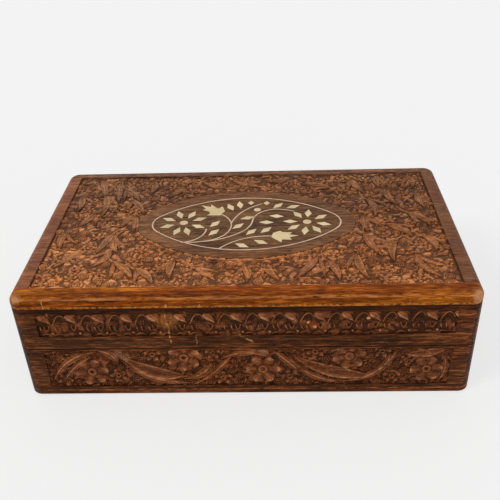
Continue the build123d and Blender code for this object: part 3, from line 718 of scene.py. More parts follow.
def tool_ground(carving, left, right, low, high, forms, *, seed, cell, depth):
    """The gouged ground: up to depth high, cut by curling grooves and lowered beside each form."""
    near = kdtree.KDTree(len(forms) + 1)
    near.insert((right + 1, 0, 0), len(forms))
    for number, (x, y, _) in enumerate(forms):
        near.insert((x, y, 0), number)
    near.balance()
    columns, rows = round((right - left) / cell), round((high - low) / cell)
    start = len(carving.verts)
    bmesh.ops.create_grid(carving, x_segments=columns, y_segments=rows, size=0.5)
    carving.verts.ensure_lookup_table()
    made = carving.verts[start:]
    for vert in made:
        x = (left + right) / 2 + vert.co.x * (right - left)
        y = (low + high) / 2 + vert.co.y * (high - low)
        curl = min(abs(lumps.noise(Vector((x * 170, y * 170, seed)))) * 5.5, 1.0)
        cross = min(abs(lumps.noise(Vector((x * 130, y * 130, seed + 7)))) * 6.5, 1.0)
        fine = lumps.noise(Vector((x * 480, y * 480, seed + 3)))
        height = min(max(curl * cross * (0.88 + 0.5 * fine), 0.0), 1.0) * depth
        _, number, away = near.find((x, y, 0))
        if number < len(forms):
            height *= min(max((away - forms[number][2]) / GROOVE, 0.0), 1.0)
        vert.co = (x, y, max(height, GROUND_SKIN))
    chosen = set(made)
    rim = [edge for edge in carving.edges if edge.is_boundary and chosen.issuperset(edge.verts)]
    walls = bmesh.ops.extrude_edge_only(carving, edges=rim)["geom"]
    for vert in verts_of(walls):
        vert.co.z = FOOT
    foot = [edge for edge in edges_of(walls) if edge.is_boundary]
    bmesh.ops.holes_fill(carving, edges=foot, sides=0)


def all_of(form):
    """Every vertex, edge and face of a form."""
    return form.verts[:] + form.edges[:] + form.faces[:]


TRIM_MARGIN = 0.3 * MM


def trim(carving, low, high, half_length):
    """Cuts the carving off beside its field and closes the cuts."""
    low, high, half_length = low - TRIM_MARGIN, high + TRIM_MARGIN, half_length + TRIM_MARGIN
    for point, normal in (
        ((0, low, 0), (0, -1, 0)),
        ((0, high, 0), (0, 1, 0)),
        ((-half_length, 0, 0), (-1, 0, 0)),
        ((half_length, 0, 0), (1, 0, 0)),
    ):
        cut = bmesh.ops.bisect_plane(
            carving, geom=all_of(carving), plane_co=point, plane_no=normal, clear_outer=True
        )["geom_cut"]
        bmesh.ops.holes_fill(carving, edges=edges_of(cut), sides=0)


def finish_carving(name, carving, place, material, body):
    """Turns a carving into a piece that stands on its face."""
    bmesh.ops.transform(carving, matrix=place, verts=carving.verts)
    bmesh.ops.recalc_face_normals(carving, faces=carving.faces)
    piece = new_piece(carving, name, material)
    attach(piece, body)


FACE_TURNS = {"front": 0, "right": 90, "back": 180, "left": -90}


def finish_band(name, carving, side, body):
    """Stands a flat carving on one of the outer faces of the box."""
    long_side = side in ("front", "back")
    out = Matrix.Translation((0, GROUND_DEPTH - BOX_HALF[1 if long_side else 0], 0))
    place = Matrix.Rotation(radians(FACE_TURNS[side]), 4, "Z") @ out @ Matrix.Rotation(radians(90), 4, "X")
    finish_carving(name, carving, place, long_carving_wood if long_side else end_carving_wood, body)


CARVED_TONES = ((70, 34, 19), (120, 68, 39), (160, 102, 64))
CARVED = {"figure": 0.5, "grime_and_shade": 0.82, "rub_and_highlight": 0.5, "worn": 0.2}
long_carving_wood = wood_finish("long_carving_wood", *CARVED_TONES, relief=LONG_RELIEF, **CARVED)
end_carving_wood = wood_finish(
    "end_carving_wood", *CARVED_TONES, grain="Y", shift=0.31, relief=END_RELIEF, **CARVED
)
# two leaves are rubbed pale and painted with a pale sheen, and a few knocks have gone through the finish
stained(long_carving_wood, *WORN_SPOT)
for spot in ((-2, -74, 35.5), (4, -74, 34.5), (10, -74, 32.5), (-72, -74, 31.0), (-68, -74, 28.0)):
    stained(long_carving_wood, spot, 3.4, (172, 122, 88), 0.45)
stained(long_carving_wood, (37, -74, 50.0), 3.2, (146, 70, 28), 0.6)
for knock in ((38.0, -74, 49.2), (34.6, -74, 52.0), (66.4, -74, 54.3)):
    stained(long_carving_wood, knock, 1.3, (216, 152, 106), 0.9)
lay(long_carving_wood, wall_scratches)


def base_band(side, low, high, half_length, shift, seed):
    """The flowers and leaves of one wall of the base."""
    carving = bmesh.new()
    pick = random.Random(seed)
    for _ in range(round(half_length / MM * CHIPS_PER_MM)):
        x = pick.uniform(-half_length, half_length)
        y = pick.uniform(low, high)
        set_in(carving, pick.choice(chips), x, y, pick.uniform(2.6, 4.8) * MM, turn=any_turn(pick))
    large = [((x + shift) * MM, y * MM, radius * MM, radians(turn)) for x, y, radius, turn in BASE_FLOWERS]
    small = [((x + shift) * MM, y * MM, radius * MM, x) for x, y, radius in BASE_SMALL_FLOWERS]
    flowers = [(x, y, radius) for x, y, radius, _ in large + small]
    pick = random.Random(seed + 40)
    for _ in range(round(half_length / MM * FLORET_TRIES_PER_MM)):
        radius = pick.uniform(2.2, 3.4) * MM
        x = pick.uniform(-half_length, half_length)
        y = pick.uniform(low, high)
        room = radius * FLORET_ROOM
        if all(hypot(x - other_x, y - other_y) > other + room for other_x, other_y, other in flowers):
            flowers.append((x, y, room))
            set_in(carving, small_floret, x, y, radius, MM * 0.9, turn=any_turn(pick))
    gouged = {"seed": seed, "cell": 0.8 * MM, "depth": 0.85 * MM}
    tool_ground(carving, -half_length, half_length, low, high, flowers, **gouged)
    for first, bend, last, width in BASE_BLADES:
        points = [((x + shift) * MM, y * MM) for x, y in (first, bend, last)]
        if min(abs(x) for x, y in points) < half_length:
            section = SCOOPED if width > SCOOPED_FROM else VEINED
            carve_ribbon(carving, points, width * MM, section, 14, blade_taper)
    for shape, height, places in ((floret, MM * 0.96, small), (big_flower, MM, large)):
        for x, y, radius, turn in places:
            if abs(x) < half_length + radius:
                set_in(carving, shape, x, y, radius, height, turn)
    trim(carving, low, high, half_length)
    finish_band(f"base_{side}_carving", carving, side, "base")


FIELD_END_MARGIN = 13.5 * MM
LONG_FIELD = BOX_HALF[0] - FIELD_END_MARGIN
END_FIELD = BOX_HALF[1] - FIELD_END_MARGIN
BASE_FIELD = (7.0 * MM, 33.8 * MM)
BASE_BACK_FIELD_HIGH = 31.0 * MM
base_band("front", *BASE_FIELD, LONG_FIELD, 0.0, seed=3)
base_band("back", BASE_FIELD[0], BASE_BACK_FIELD_HIGH, LONG_FIELD, 0.0, seed=4)
base_band("left", *BASE_FIELD, END_FIELD, 12.0, seed=5)
base_band("right", *BASE_FIELD, END_FIELD, -30.0, seed=6)


# ---- bottom board and its brads ----
# A plain sheesham board let into the walls from below, scraped but not carved or waxed. Square-cut
# brass brads with no heads hold it all round; they are driven flush and have gone dull and brown.
bottom_wood = wood_finish(
    "bottom_wood", (58, 34, 22), (104, 68, 46), (146, 102, 72), shift=0.83, figure=0.8, worn=0.2
)
finish_node(bottom_wood, "bottom_board")

dull_brass, tree = new_material("dull_brass")
tarnish = fade(noise(place_on_box(tree), (700, 700, 700), detail=4), 0.42, 0.62)
feed(tree, Base_Color=mix(tarnish, paint(150, 118, 62), paint(74, 50, 28)))
feed(tree, Roughness=calc("MULTIPLY_ADD", tarnish, 0.3, 0.4))
feed(tree, Metallic=calc("MULTIPLY_ADD", tarnish, -0.7, 0.95))
roughen(tarnish, 0.6, 0.2 * MM)
finish_node(dull_brass, "bottom_brads")


# ---- linings of the base ----
# Deep red velvet glued over card, cut to each wall and to the floor. The pile is brushed this way
# and that, so it has paler and darker patches, and the edges are rolled over the card.
velvet, tree = new_material("velvet")
brushed = noise(place_on_box(tree), (38, 38, 38), detail=3, distortion=1.2)
tufts = noise(place_on_box(tree), (5200, 5200, 5200), detail=2)
pile = mix(fade(brushed, 0.35, 0.66), paint(74, 8, 16), paint(122, 20, 30))
pile = mix(fade(tufts, 0.35, 0.7, 0.0, 0.35), pile, paint(40, 3, 8))
feed(tree, Base_Color=pile, Roughness=calc("MULTIPLY_ADD", brushed, 0.15, 0.8))
feed(tree, Sheen_Weight=0.7, Sheen_Roughness=0.35, Sheen_Tint=paint(214, 110, 118), Specular_IOR_Level=0.1)
roughen(tufts, 0.35, 0.3 * MM)


ROLLED_EDGE = 0.42 * MM
PILE_SWELL = 0.16  # how far the face sinks in places, as a share of half the thickness


def line_with_velvet(node_name, body):
    """One covered card, in the place of its solid, with a rolled edge and a slightly uneven face."""
    low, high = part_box(node_name)
    size = high - low
    thin = min(range(3), key=lambda axis: size[axis])
    form = bmesh.new()
    bmesh.ops.create_cube(form, size=1)
    bmesh.ops.scale(form, vec=size, verts=form.verts)
    bmesh.ops.bevel(
        form, geom=form.edges[:], offset=ROLLED_EDGE, segments=3, profile=0.5, affect="EDGES", material=-1
    )
    long_edges = [edge for edge in form.edges if edge.calc_length() > 8 * MM]
    bmesh.ops.subdivide_edges(form, edges=long_edges, cuts=12, use_grid_fill=True)
    middle = (low + high) / 2
    bmesh.ops.translate(form, vec=middle, verts=form.verts)
    for vert in form.verts:
        swell = sin(vert.co.x * 190 + vert.co.z * 260) * sin(vert.co.y * 170 + vert.co.z * 90)
        vert.co[thin] += (middle[thin] - vert.co[thin]) * PILE_SWELL * (0.5 + 0.5 * swell)
    for face in form.faces:
        face.smooth = True
    piece = new_piece(form, f"{node_name}_velvet", velvet)
    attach(piece, body)
    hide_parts(node_name)


line_with_velvet("base_floor_lining", "base")
for side in ("front", "back", "left", "right"):
    line_with_velvet(f"base_{side}_lining", "base")


# ---- hinges ----
# Two small pressed brass butt hinges, let into the sloped back edges so that only the barrels show.
# Each leaf has two slotted brass screws. The brass has gone brown, brighter where it rubs.
brass, tree = new_material("old_brass")
tarnish = noise(place_on_box(tree), (240, 240, 240), detail=5, roughness=0.65)
tarnish = fade(tarnish, 0.4, 0.62)
feed(tree, Base_Color=mix(tarnish, paint(196, 156, 82), paint(112, 82, 44)))
feed(tree, Roughness=calc("MULTIPLY_ADD", tarnish, 0.3, 0.28))
feed(tree, Metallic=calc("MULTIPLY_ADD", tarnish, -0.25, 1.0))
roughen(noise(place_on_box(tree), (60, 2400, 2400), detail=2), 0.3, 0.1 * MM)
for side in ("left", "right"):
    finish_node(brass, f"{side}_hinge_lower_leaf", f"{side}_hinge_upper_leaf", f"{side}_hinge_pin")

SCREW_RADIUS, SCREW_HEAD_RADIUS, SCREW_HEAD, SCREW_LENGTH = 0.7 * MM, 1.4 * MM, 1.0 * MM, 7.0 * MM
COUNTERSINK_RADIUS = 1.5 * MM
SLOT_WIDTH, SLOT_DEPTH = 0.42 * MM, 0.45 * MM
form = bmesh.new()
bmesh.ops.create_circle(form, cap_ends=True, segments=28, radius=SCREW_HEAD_RADIUS)
edge_of_slot = (0, SLOT_WIDTH / 2, 0)
bmesh.ops.bisect_plane(form, geom=all_of(form), plane_co=edge_of_slot, plane_no=(0, -1, 0), clear_outer=True)
made = bmesh.ops.extrude_face_region(form, geom=form.faces[:])["geom"]
bmesh.ops.translate(form, vec=(0, 0, -SLOT_DEPTH), verts=verts_of(made))
other_half = bmesh.ops.duplicate(form, geom=all_of(form))["geom"]
bmesh.ops.rotate(form, matrix=Matrix.Rotation(pi, 3, "Z"), verts=verts_of(other_half))
# the countersunk head below the slot, and the shank with its point
for segments, tip, shoulder, top, foot in (
    (28, SCREW_RADIUS, SCREW_HEAD_RADIUS, SLOT_DEPTH, SCREW_HEAD),
    (12, SCREW_RADIUS * 0.3, SCREW_RADIUS, SCREW_HEAD, SCREW_LENGTH),
):
    middle = Matrix.Translation((0, 0, -(top + foot) / 2))
    bmesh.ops.create_cone(
        form, cap_ends=True, segments=segments, radius1=tip, radius2=shoulder, depth=foot - top, matrix=middle
    )
bmesh.ops.recalc_face_normals(form, faces=form.faces)
screw_mesh = finished_mesh(form, "slotted_screw")

SCREW_SPACING = 14.0 * MM
for half, body, turned in (("lower", "base", 0), ("upper", "lid", pi)):
    low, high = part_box(f"{half}_hinge_screws")
    level = high.z if half == "lower" else low.z
    ends = (low.x + COUNTERSINK_RADIUS, high.x - COUNTERSINK_RADIUS)
    four_screws = bmesh.new()
    for number, x in enumerate((ends[0], ends[0] + SCREW_SPACING, ends[1] - SCREW_SPACING, ends[1])):
        start = len(four_screws.verts)
        four_screws.from_mesh(screw_mesh)
        four_screws.verts.ensure_lookup_table()
        slot_turn = Matrix.Rotation(0.5 + 1.1 * number, 4, "Z")
        stand = Matrix.Translation((x, (low.y + high.y) / 2, level)) @ Matrix.Rotation(turned, 4, "X")
        bmesh.ops.transform(four_screws, matrix=stand @ slot_turn, verts=four_screws.verts[start:])
    screws = new_piece(four_screws, f"{half}_slotted_screws", brass)
    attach(screws, body)
    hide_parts(f"{half}_hinge_screws")


# ---- carving on the lid's sides ----
# One motif repeated on all four sides: an arch over a drilled bud, a slanting leaf that runs down to
# a point beside it, small hanging leaves below, and dots and notches along the bottom.
LID_FIELD = (44.0 * MM, 59.6 * MM)
MOTIF_PITCH = 14.9 * MM
MOTIF_SHIFT = -1.1 * MM
ARCH = heights((-1, 0.5), (0, 1.1), (1, 0.5))
DROP = heights((-1, 0.4), (0, 1.25), (1, 0.5))
SLANT = heights((-1, 1.26), (-0.55, 1.2), (0, 0.8), (0.5, 0.95), (1, 0.6))
knob = flower_shape(
    "knob", 1, 10, (1.0, 1.0, FOOT_HEIGHT, FOOT_HEIGHT), (0.9, 0.9, 0.9, 0.9), (0.5, 0.5, 1.2, 1.2)
)


def lid_band(side, half_length, seed):
    """The repeated motif along one side of the lid."""
    low, high = LID_FIELD
    carving = bmesh.new()
    reach = int(half_length / MOTIF_PITCH) + 1
    starts = [number * MOTIF_PITCH + MOTIF_SHIFT for number in range(-reach, reach)]
    hollows = [(x + 4.9 * MM, low + 11.8 * MM, 1.9 * MM) for x in starts]
    hollows += [(x + 12.2 * MM, low + 5.6 * MM, 0.9 * MM) for x in starts]
    gouged = {"seed": seed, "cell": 0.7 * MM, "depth": 0.7 * MM}
    tool_ground(carving, -half_length, half_length, low, high, hollows, **gouged)
    pick = random.Random(seed)
    for number in range(-reach, reach):
        x = number * MOTIF_PITCH + MOTIF_SHIFT + pick.uniform(-0.3, 0.3) * MM

        def at(across, up):
            """A place in the motif, in millimetres, a little off as the hand is."""
            across += pick.uniform(-0.25, 0.25)
            return (x + across * MM, low + (up + pick.uniform(-0.2, 0.2)) * MM)

        def cut(points, width, section, steps, taper=leaf_taper):
            """One leaf, arc or notch of the motif."""
            carve_ribbon(carving, [at(*point) for point in points], width * MM, section, steps, taper)

        cut(((1.2, 8.2), (4.8, 19.4), (9.0, 11.2)), 0.85, ARCH, 10, stem_taper)
        set_in(carving, floret, *at(5.0, 9.2), 1.8 * MM, MM * 0.85, turn=number * 0.5)
        cut(((8.2, 14.4), (11.6, 13.8), (14.6, 9.2)), 3.9, SLANT, 8)
        cut(((11.6, 15.1), (13.6, 15.0), (15.4, 13.0)), 1.6, CHIP, 6)
        cut(((10.6, 7.8), (12.2, 0.8), (13.8, 7.8)), 0.8, ARCH, 9, stem_taper)
        for across in (2.0, 4.6, 8.6):
            cut(((across, 7.4), (across - 0.4, 5.4), (across + 1.0, 3.6)), 1.3, DROP, 5)
        set_in(carving, knob, *at(0, 2.4), 0.85 * MM, MM)
        cut(((0.9, 0.8), (3.6, 2.6), (6.3, 0.9)), 1.3, CHIP, 6)
        cut(((8.6, 0.9), (11.2, 2.6), (14.0, 0.8)), 1.3, CHIP, 6)
    trim(carving, low, high, half_length)
    finish_band(f"lid_{side}_carving", carving, side, "lid")


lid_band("front", LONG_FIELD, seed=11)
lid_band("back", LONG_FIELD, seed=12)
lid_band("left", END_FIELD, seed=13)
lid_band("right", END_FIELD, seed=14)


# ---- rails round the lid panel ----
# Four strips glued on the lid's sides, with a groove inside for the panel. The front one is a redder
# piece that hands have polished to orange; the others are browner, and all are rubbed at their edges.
front_rail_wood = wood_finish(
    "front_rail_wood", (64, 25, 3), (112, 51, 3), (160, 87, 20), shift=0.43, figure=0.9,
    worn=0.75, reach=1.8,
)
tinted(front_rail_wood, (0.1, -1, -1), 9.5, 19.5, (1.5, 1.9, 2.6))
tinted(front_rail_wood, (0.1, 1, 1), 4, 13, (0.8, 0.8, 0.55))
tinted(front_rail_wood, (-0.1, 1, 1), 4, 13, (1.15, 1.4, 1.4))
tinted(front_rail_wood, (-0.02, 1, 1), -3.5, 1, (1.55, 1.55, 1.4))
stained(front_rail_wood, (124, -73, 67.5), 5, (190, 138, 100), 0.7)
stained(front_rail_wood, (-123, -73, 69.5), 4, (186, 138, 96), 0.6)
back_rail_wood = wood_finish(
    "back_rail_wood", (60, 36, 24), (106, 68, 46), (146, 102, 72), shift=0.11, worn=0.3
)
side_rail_wood = wood_finish(
    "side_rail_wood", (76, 42, 30), (122, 76, 54), (154, 106, 78), shift=0.67, figure=0.7, worn=0.35
)
rail_scratches = front_scratches(
    "rail_scratches",
    (
        (-41.7, 61.5, 66.5, 1.6, 0.0),
        (-31.0, 61.0, 65.0, 0.7, 0.0),
        (-24.0, 62.5, 66.5, 0.8, 0.5),
        (-107.5, 61.5, 69.5, 0.8, 0.0),
    ),
)
lay(front_rail_wood, rail_scratches)
flecked(front_rail_wood, 63.3, 65.2, (186, 128, 58), 0.6, (480, 480, 900))
# pale flecks along the rounded top edge of the front rail: rubbed wood and a painted highlight
flecked(front_rail_wood, 68.0, 69.8, (200, 130, 74), 0.5, (130, 400, 1200))
tinted(side_rail_wood, (1, 0, 0), 0, -100, (1.18, 1.14, 0.98))
tinted(side_rail_wood, (1, 0, 0), 0, 100, (0.8, 0.82, 0.68))
for material in (front_rail_wood, long_board_wood, long_carving_wood):
    # the wax on the front has gone amber, and what it reflects looks warm
    feed(material.node_tree, Specular_Tint=(1, 0.7, 0.4, 1))
finish_node(front_rail_wood, "lid_front_rail")
finish_node(back_rail_wood, "lid_back_rail")
finish_node(side_rail_wood, "lid_left_rail", "lid_right_rail")


# ---- lid panel and its carving ----
# One wide board held by its tongue in the rails. Its middle is left flat as an oval for the bone; all
# the rest is carved with long veined leaves, and with flowers and small florets packed close.
PANEL_GROUND = BOX_HEIGHT - GROUND_DEPTH
PANEL_RELIEF_HEIGHT = 1.1 * MM
PANEL = {"shift": 0.24, "relief": ((0, 0, 1), PANEL_GROUND)}
panel_wood = wood_finish(
    "panel_wood", (72, 44, 26), (116, 77, 48), (148, 103, 68), figure=1.1, worn=0.2, **PANEL
)
panel_carving_wood = wood_finish(
    "panel_carving_wood", (106, 57, 33), (160, 101, 63), (196, 138, 94), figure=0.6,
    grime_and_shade=0.76, rub_and_highlight=0.4, worn=0, **PANEL,
)
panel_leaf_wood = wood_finish(
    "panel_leaf_wood", (94, 56, 34), (146, 94, 60), (178, 126, 86), figure=0.6,
    grime_and_shade=0.62, rub_and_highlight=0.15, worn=0, **PANEL,
)
# painted light: the carving is painted lighter on the left of the lid and along its front, where the light
# falls on them
for material in (panel_carving_wood, panel_leaf_wood):
    tinted(material, (1, 0, 0), 100, -100, (1.1, 1.22, 1.32), (0.9, 0.95, 0.98))
    tinted(material, (0, 1, 0), 40, -55, (1.5, 1.4, 1.2), (0.96, 0.97, 1.0))
tinted(panel_wood, (1, 0, 0), 60, -60, (1.05, 1.05, 1.05), (0.94, 0.92, 0.9))
tinted(panel_wood, (0, 1, 0), 8, 34, (0.86, 0.8, 0.72))
tinted(panel_wood, (0, 1, 0), -16, -38, (0.88, 0.84, 0.72))
for material in (panel_wood, panel_carving_wood):
    stained(material, (-18, -40, 70), 4, (44, 30, 26), 0.8)

MERGE = 0.002 * MM


def merged_copy(name):
    """A CAD piece's mesh to work on, with its loose triangles joined."""
    form = bmesh.new()
    form.from_mesh(nodes[name].data)
    bmesh.ops.remove_doubles(form, verts=form.verts, dist=MERGE)
    return form


# the board itself, with the main leaves and flowers of its carving taken off to be cut finer below
form = merged_copy("lid_panel")
for vert in form.verts:
    if abs(vert.co.z - PANEL_GROUND - PANEL_RELIEF_HEIGHT) < 0.01 * MM:
        vert.co.z = PANEL_GROUND
bmesh.ops.remove_doubles(form, verts=form.verts, dist=MERGE)
board = new_piece(form, "lid_panel_board", panel_wood)
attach(board, "lid")
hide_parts("lid_panel")

TONGUE = 4.0 * MM
panel_low, panel_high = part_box("lid_panel")
FIELD_LEFT, FIELD_RIGHT = panel_low.x + TONGUE, panel_high.x - TONGUE
FIELD_FRONT, FIELD_BACK = panel_low.y + TONGUE, panel_high.y - TONGUE
FIELD_MIDDLE = (FIELD_FRONT + FIELD_BACK) / 2
border_low, border_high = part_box("inlay_border")
OVAL_MIDDLE = (border_low + border_high) / 2
INLAY_LINE = 0.9 * MM
OVAL_HALF_LENGTH = (border_high.x - border_low.x - INLAY_LINE) / 2
OVAL_HALF_DEPTH = (border_high.y - border_low.y - INLAY_LINE) / 2
OVAL_END_RADIUS = 12.5 * MM
RESERVE_MARGIN = 8.9 * MM
END_X = OVAL_HALF_LENGTH - OVAL_END_RADIUS
END_SPARE = OVAL_HALF_DEPTH - OVAL_END_RADIUS
LONG_Y = (END_X**2 - END_SPARE**2) / (2 * END_SPARE)


def outside_oval(x, y):
    """How far a point is outside the flat oval."""
    across, up = abs(x - OVAL_MIDDLE.x), abs(y - OVAL_MIDDLE.y)
    if atan2(up + LONG_Y, across) < atan2(LONG_Y, END_X):
        return hypot(across - END_X, up) - OVAL_END_RADIUS - RESERVE_MARGIN
    return hypot(across, up + LONG_Y) - OVAL_HALF_DEPTH - LONG_Y - RESERVE_MARGIN


def on_carving(spot):
    """Whether a spot of the panel lies on the sunk ground, clear of the oval and of the rails."""
    across = FIELD_LEFT + MM < spot.x < FIELD_RIGHT - MM
    return across and FIELD_FRONT + MM < spot.y < FIELD_BACK - MM and outside_oval(*spot) > MM


# wax and rubbing have turned the wood olive inside the line of bone
tree = panel_wood.node_tree
scale = Vector((1 / OVAL_HALF_LENGTH, 1 / OVAL_HALF_DEPTH, 0))
middle = -OVAL_MIDDLE * scale
inside = node(tree, "ShaderNodeMapping", Location=middle, Scale=scale)
tree.links.new(place_on_box(tree), inside.inputs["Vector"])
away = fade(measure("DISTANCE", inside.outputs[0], (0, 0, 0)), 1.04, 0.96)
olive = mix(away, (1, 1, 1, 1), (0.78, 0.84, 0.72, 1))
colour = tree.nodes["Principled BSDF"].inputs["Base Color"].links[0].from_socket
feed(tree, Base_Color=mix(1.0, colour, olive, blend_type="MULTIPLY"))

# leaves of the panel: stalk, bend and tip, in millimetres from its middle
PANEL_LEAVES = (
    ((-103, 61), (-97, 49), (-96, 35)), ((-96, 40), (-90.5, 29), (-93, 11)),
    ((-90, 57), (-87, 45), (-85.5, 29)), ((-84, 49), (-78, 43), (-71, 31)),
    ((-76, 33), (-71, 25), (-66, 15)), ((-73, 13), (-76, 7), (-78, -2)),
    ((-71.5, 12), (-69, 3), (-70, -7)), ((-98, 16), (-100, 8), (-105.5, -1)),
    ((-112, 39), (-108, 31), (-110, 19)), ((-44, 51), (-46, 43), (-53, 36)),
    ((-66, 59), (-62, 51), (-66, 41)), ((-81, -9), (-84, -19), (-88, -31)),
    ((-80, -15), (-80, -23), (-75, -30)), ((-79, -28), (-80, -37), (-87, -44)),
    ((-97, -25), (-101, -35), (-109, -44)), ((-76, -39), (-66, -47), (-62, -57)),
    ((-62, -47), (-54, -51), (-50, -61)), ((-110, -7), (-114, -15), (-110, -25)),
    ((-40, -39), (-44, -47), (-41, -57)), ((-28, -47), (-22, -51), (-16, -59)),
    ((-2, -45), (4, -51), (1, -61)), ((12, -43), (12, -51), (19, -59)),
    ((42, -37), (36, -47), (28, -59)), ((46, -41), (52, -49), (52, -61)),
    ((64, -35), (62, -47), (68, -59)), ((70, -13), (72, -25), (78, -37)),
    ((88, -21), (82, -31), (84, -43)), ((97, -35), (95, -49), (107, -58)),
    ((104, -17), (112, -23), (109, -33)), ((76, 29), (83, 21), (79, 5)),
    ((73, 9), (70, -1), (73, -11)), ((92, 43), (88, 33), (95, 21)),
    ((112, 37), (107, 29), (112, 17)), ((84, -3), (94, -7), (98, -17)),
    ((100, 11), (110, 5), (111, -5)), ((70, 57), (70, 47), (76, 37)),
    ((88, 61), (84, 53), (87, 45)), ((106, 61), (112, 53), (108, 43)),
    ((54, 45), (46, 51), (36, 51)), ((30, 61), (22, 55), (12, 56)),
    ((6, 49), (-4, 51), (-12, 59)), ((-16, 47), (-24, 49), (-32, 57)),
)
LEAF_WIDTH, SLIM_LEAF_WIDTH, STEM_WIDTH = 4.4 * MM, 2.4 * MM, 1.2 * MM
FLOWER_RADIUS = 3.9 * MM
FLOWER_ROOM, FLOWER_SPACING, FLOWER_TRIES = 5.2 * MM, 9.0 * MM, 300
SCATTER_STEP_X, SCATTER_STEP_Y = 0.7549, 0.5698  # steps that spread the flowers evenly
LEAF_ROOM, SLIM_LEAF_ROOM = 1.6 * MM, 1.0 * MM
FLORET_TRIES, FLORET_MARGIN = 9000, 1.2 * MM
CHIP_TRIES = 700
EDGE_HEIGHT, EDGE_SLOPE = 1.15 * MM, 1.8 * MM
RIB_STEPS = 60
STEM = heights((-1, 0.35), (-0.5, 0.95), (0, 1.1), (0.5, 0.95), (1, 0.35))

panel_place = Matrix.Translation((0, 0, PANEL_GROUND))
leaf_carving, flower_carving = bmesh.new(), bmesh.new()
pick = random.Random(29)
rib_spots, slim_spots = [], []
for points in PANEL_LEAVES:
    stalk, bend, tip = [Vector((across * MM, FIELD_MIDDLE + up * MM)) for across, up in points]
    rib_spots += [curve_point(stalk, bend, tip, step / RIB_STEPS) for step in range(RIB_STEPS + 1)]
    carve_ribbon(leaf_carving, (stalk, bend, tip), LEAF_WIDTH, pick.choice((VEINED, SCOOPED)), 12, leaf_taper)
    # a narrow leaf leaves the same stalk, and the stem runs on behind it
    back = (stalk - bend).normalized()
    for side in pick.sample((-1, 1), 2):
        swing = Matrix.Rotation(side * radians(pick.uniform(26, 40)), 2)
        slim = [stalk, *(stalk + swing @ (point - stalk) * 0.85 for point in (bend, tip))]
        if on_carving(slim[2]):
            carve_ribbon(leaf_carving, slim, SLIM_LEAF_WIDTH, VEINED, 9, leaf_taper)
            slim_spots += [stalk.lerp(slim[2], share) for share in (0.3, 0.6, 0.9)]
            break
    for side in (-1, 1):
        aside = Vector((-back.y, back.x)) * side
        stem = [stalk, stalk + back * 5 * MM, stalk + back * 9 * MM + aside * 4 * MM]
        if on_carving(stem[1]) and on_carving(stem[2]):
            carve_ribbon(leaf_carving, stem, STEM_WIDTH, STEM, 7, stem_taper)
            slim_spots += stem[1:]
            break

taken = [(spot.x, spot.y, LEAF_ROOM) for spot in rib_spots[::6]]
taken += [(spot.x, spot.y, SLIM_LEAF_ROOM) for spot in slim_spots]
flower_places = []
for number in range(FLOWER_TRIES):
    x = (number * SCATTER_STEP_X % 1 - 0.5) * (FIELD_RIGHT - FIELD_LEFT - 2 * FLOWER_ROOM)
    y = (number * SCATTER_STEP_Y % 1 - 0.5) * (FIELD_BACK - FIELD_FRONT - 2 * FLOWER_ROOM) + FIELD_MIDDLE
    place = Vector((x, y))
    room = min(outside_oval(x, y), min((spot - place).length for spot in rib_spots))
    if room > FLOWER_ROOM and all((place - other).length > FLOWER_SPACING for other in flower_places):
        flower_places.append(place)
        taken.append((x, y, FLOWER_RADIUS * 0.85))
        set_in(flower_carving, floret, x, y, FLOWER_RADIUS, MM, turn=number * 0.7)
finish_carving("lid_panel_leaves", leaf_carving, panel_place, panel_leaf_wood, "lid")
finish_carving("lid_panel_flowers", flower_carving, panel_place, panel_carving_wood, "lid")

floret_carving = bmesh.new()
for _ in range(FLORET_TRIES):
    radius = pick.uniform(2.2, 3.5) * MM
    x = pick.uniform(FIELD_LEFT + FLORET_MARGIN, FIELD_RIGHT - FLORET_MARGIN)
    y = pick.uniform(FIELD_FRONT + FLORET_MARGIN, FIELD_BACK - FLORET_MARGIN)
    if outside_oval(x, y) < 0.8 * MM:
        continue
    if any(hypot(x - other_x, y - other_y) < other + radius * 1.1 for other_x, other_y, other in taken):
        continue
    taken.append((x, y, radius * 0.8))
    shape = pick.choice((small_floret, small_floret, small_floret, small_floret, chips[0]))
    size = radius if shape == small_floret else 2.0 * radius
    height = pick.uniform(0.8, 1.08) * (MM if shape == small_floret else 1)
    set_in(floret_carving, shape, x, y, size, height, turn=any_turn(pick))
finish_carving("lid_panel_florets", floret_carving, panel_place, panel_carving_wood, "lid")

ground_carving = bmesh.new()
gouged = {"seed": 21, "cell": 0.7 * MM, "depth": 1.0 * MM}
tool_ground(ground_carving, FIELD_LEFT, FIELD_RIGHT, FIELD_FRONT, FIELD_BACK, taken, **gouged)
for vert in ground_carving.verts:
    x, y, z = vert.co
    if z < 0:
        continue
    ragged = 1 + lumps.noise(Vector((x * 260, y * 260, 3)))
    edge = min(outside_oval(x, y), y - FIELD_FRONT)
    # a deep line has been run round the carving, close to the rails
    z *= min(max(min(x - FIELD_LEFT, FIELD_RIGHT - x, FIELD_BACK - y) / MM - 0.3, 0.0), 1.0)
    if z > 0 or edge > 0.5 * MM:
        z = max(z, min(EDGE_HEIGHT * ragged * (1 - edge / EDGE_SLOPE), EDGE_HEIGHT))
    vert.co.z = 0.0 if outside_oval(x, y) < 0 else max(z, GROUND_SKIN)
for _ in range(CHIP_TRIES):
    x = pick.uniform(FIELD_LEFT, FIELD_RIGHT)
    y = pick.uniform(FIELD_FRONT, FIELD_BACK)
    if outside_oval(x, y) > 0:
        set_in(ground_carving, pick.choice(chips), x, y, pick.uniform(2.2, 3.8) * MM, turn=any_turn(pick))
trim(ground_carving, FIELD_FRONT, FIELD_BACK, FIELD_RIGHT)
finish_carving("lid_panel_carving", ground_carving, panel_place, panel_carving_wood, "lid")


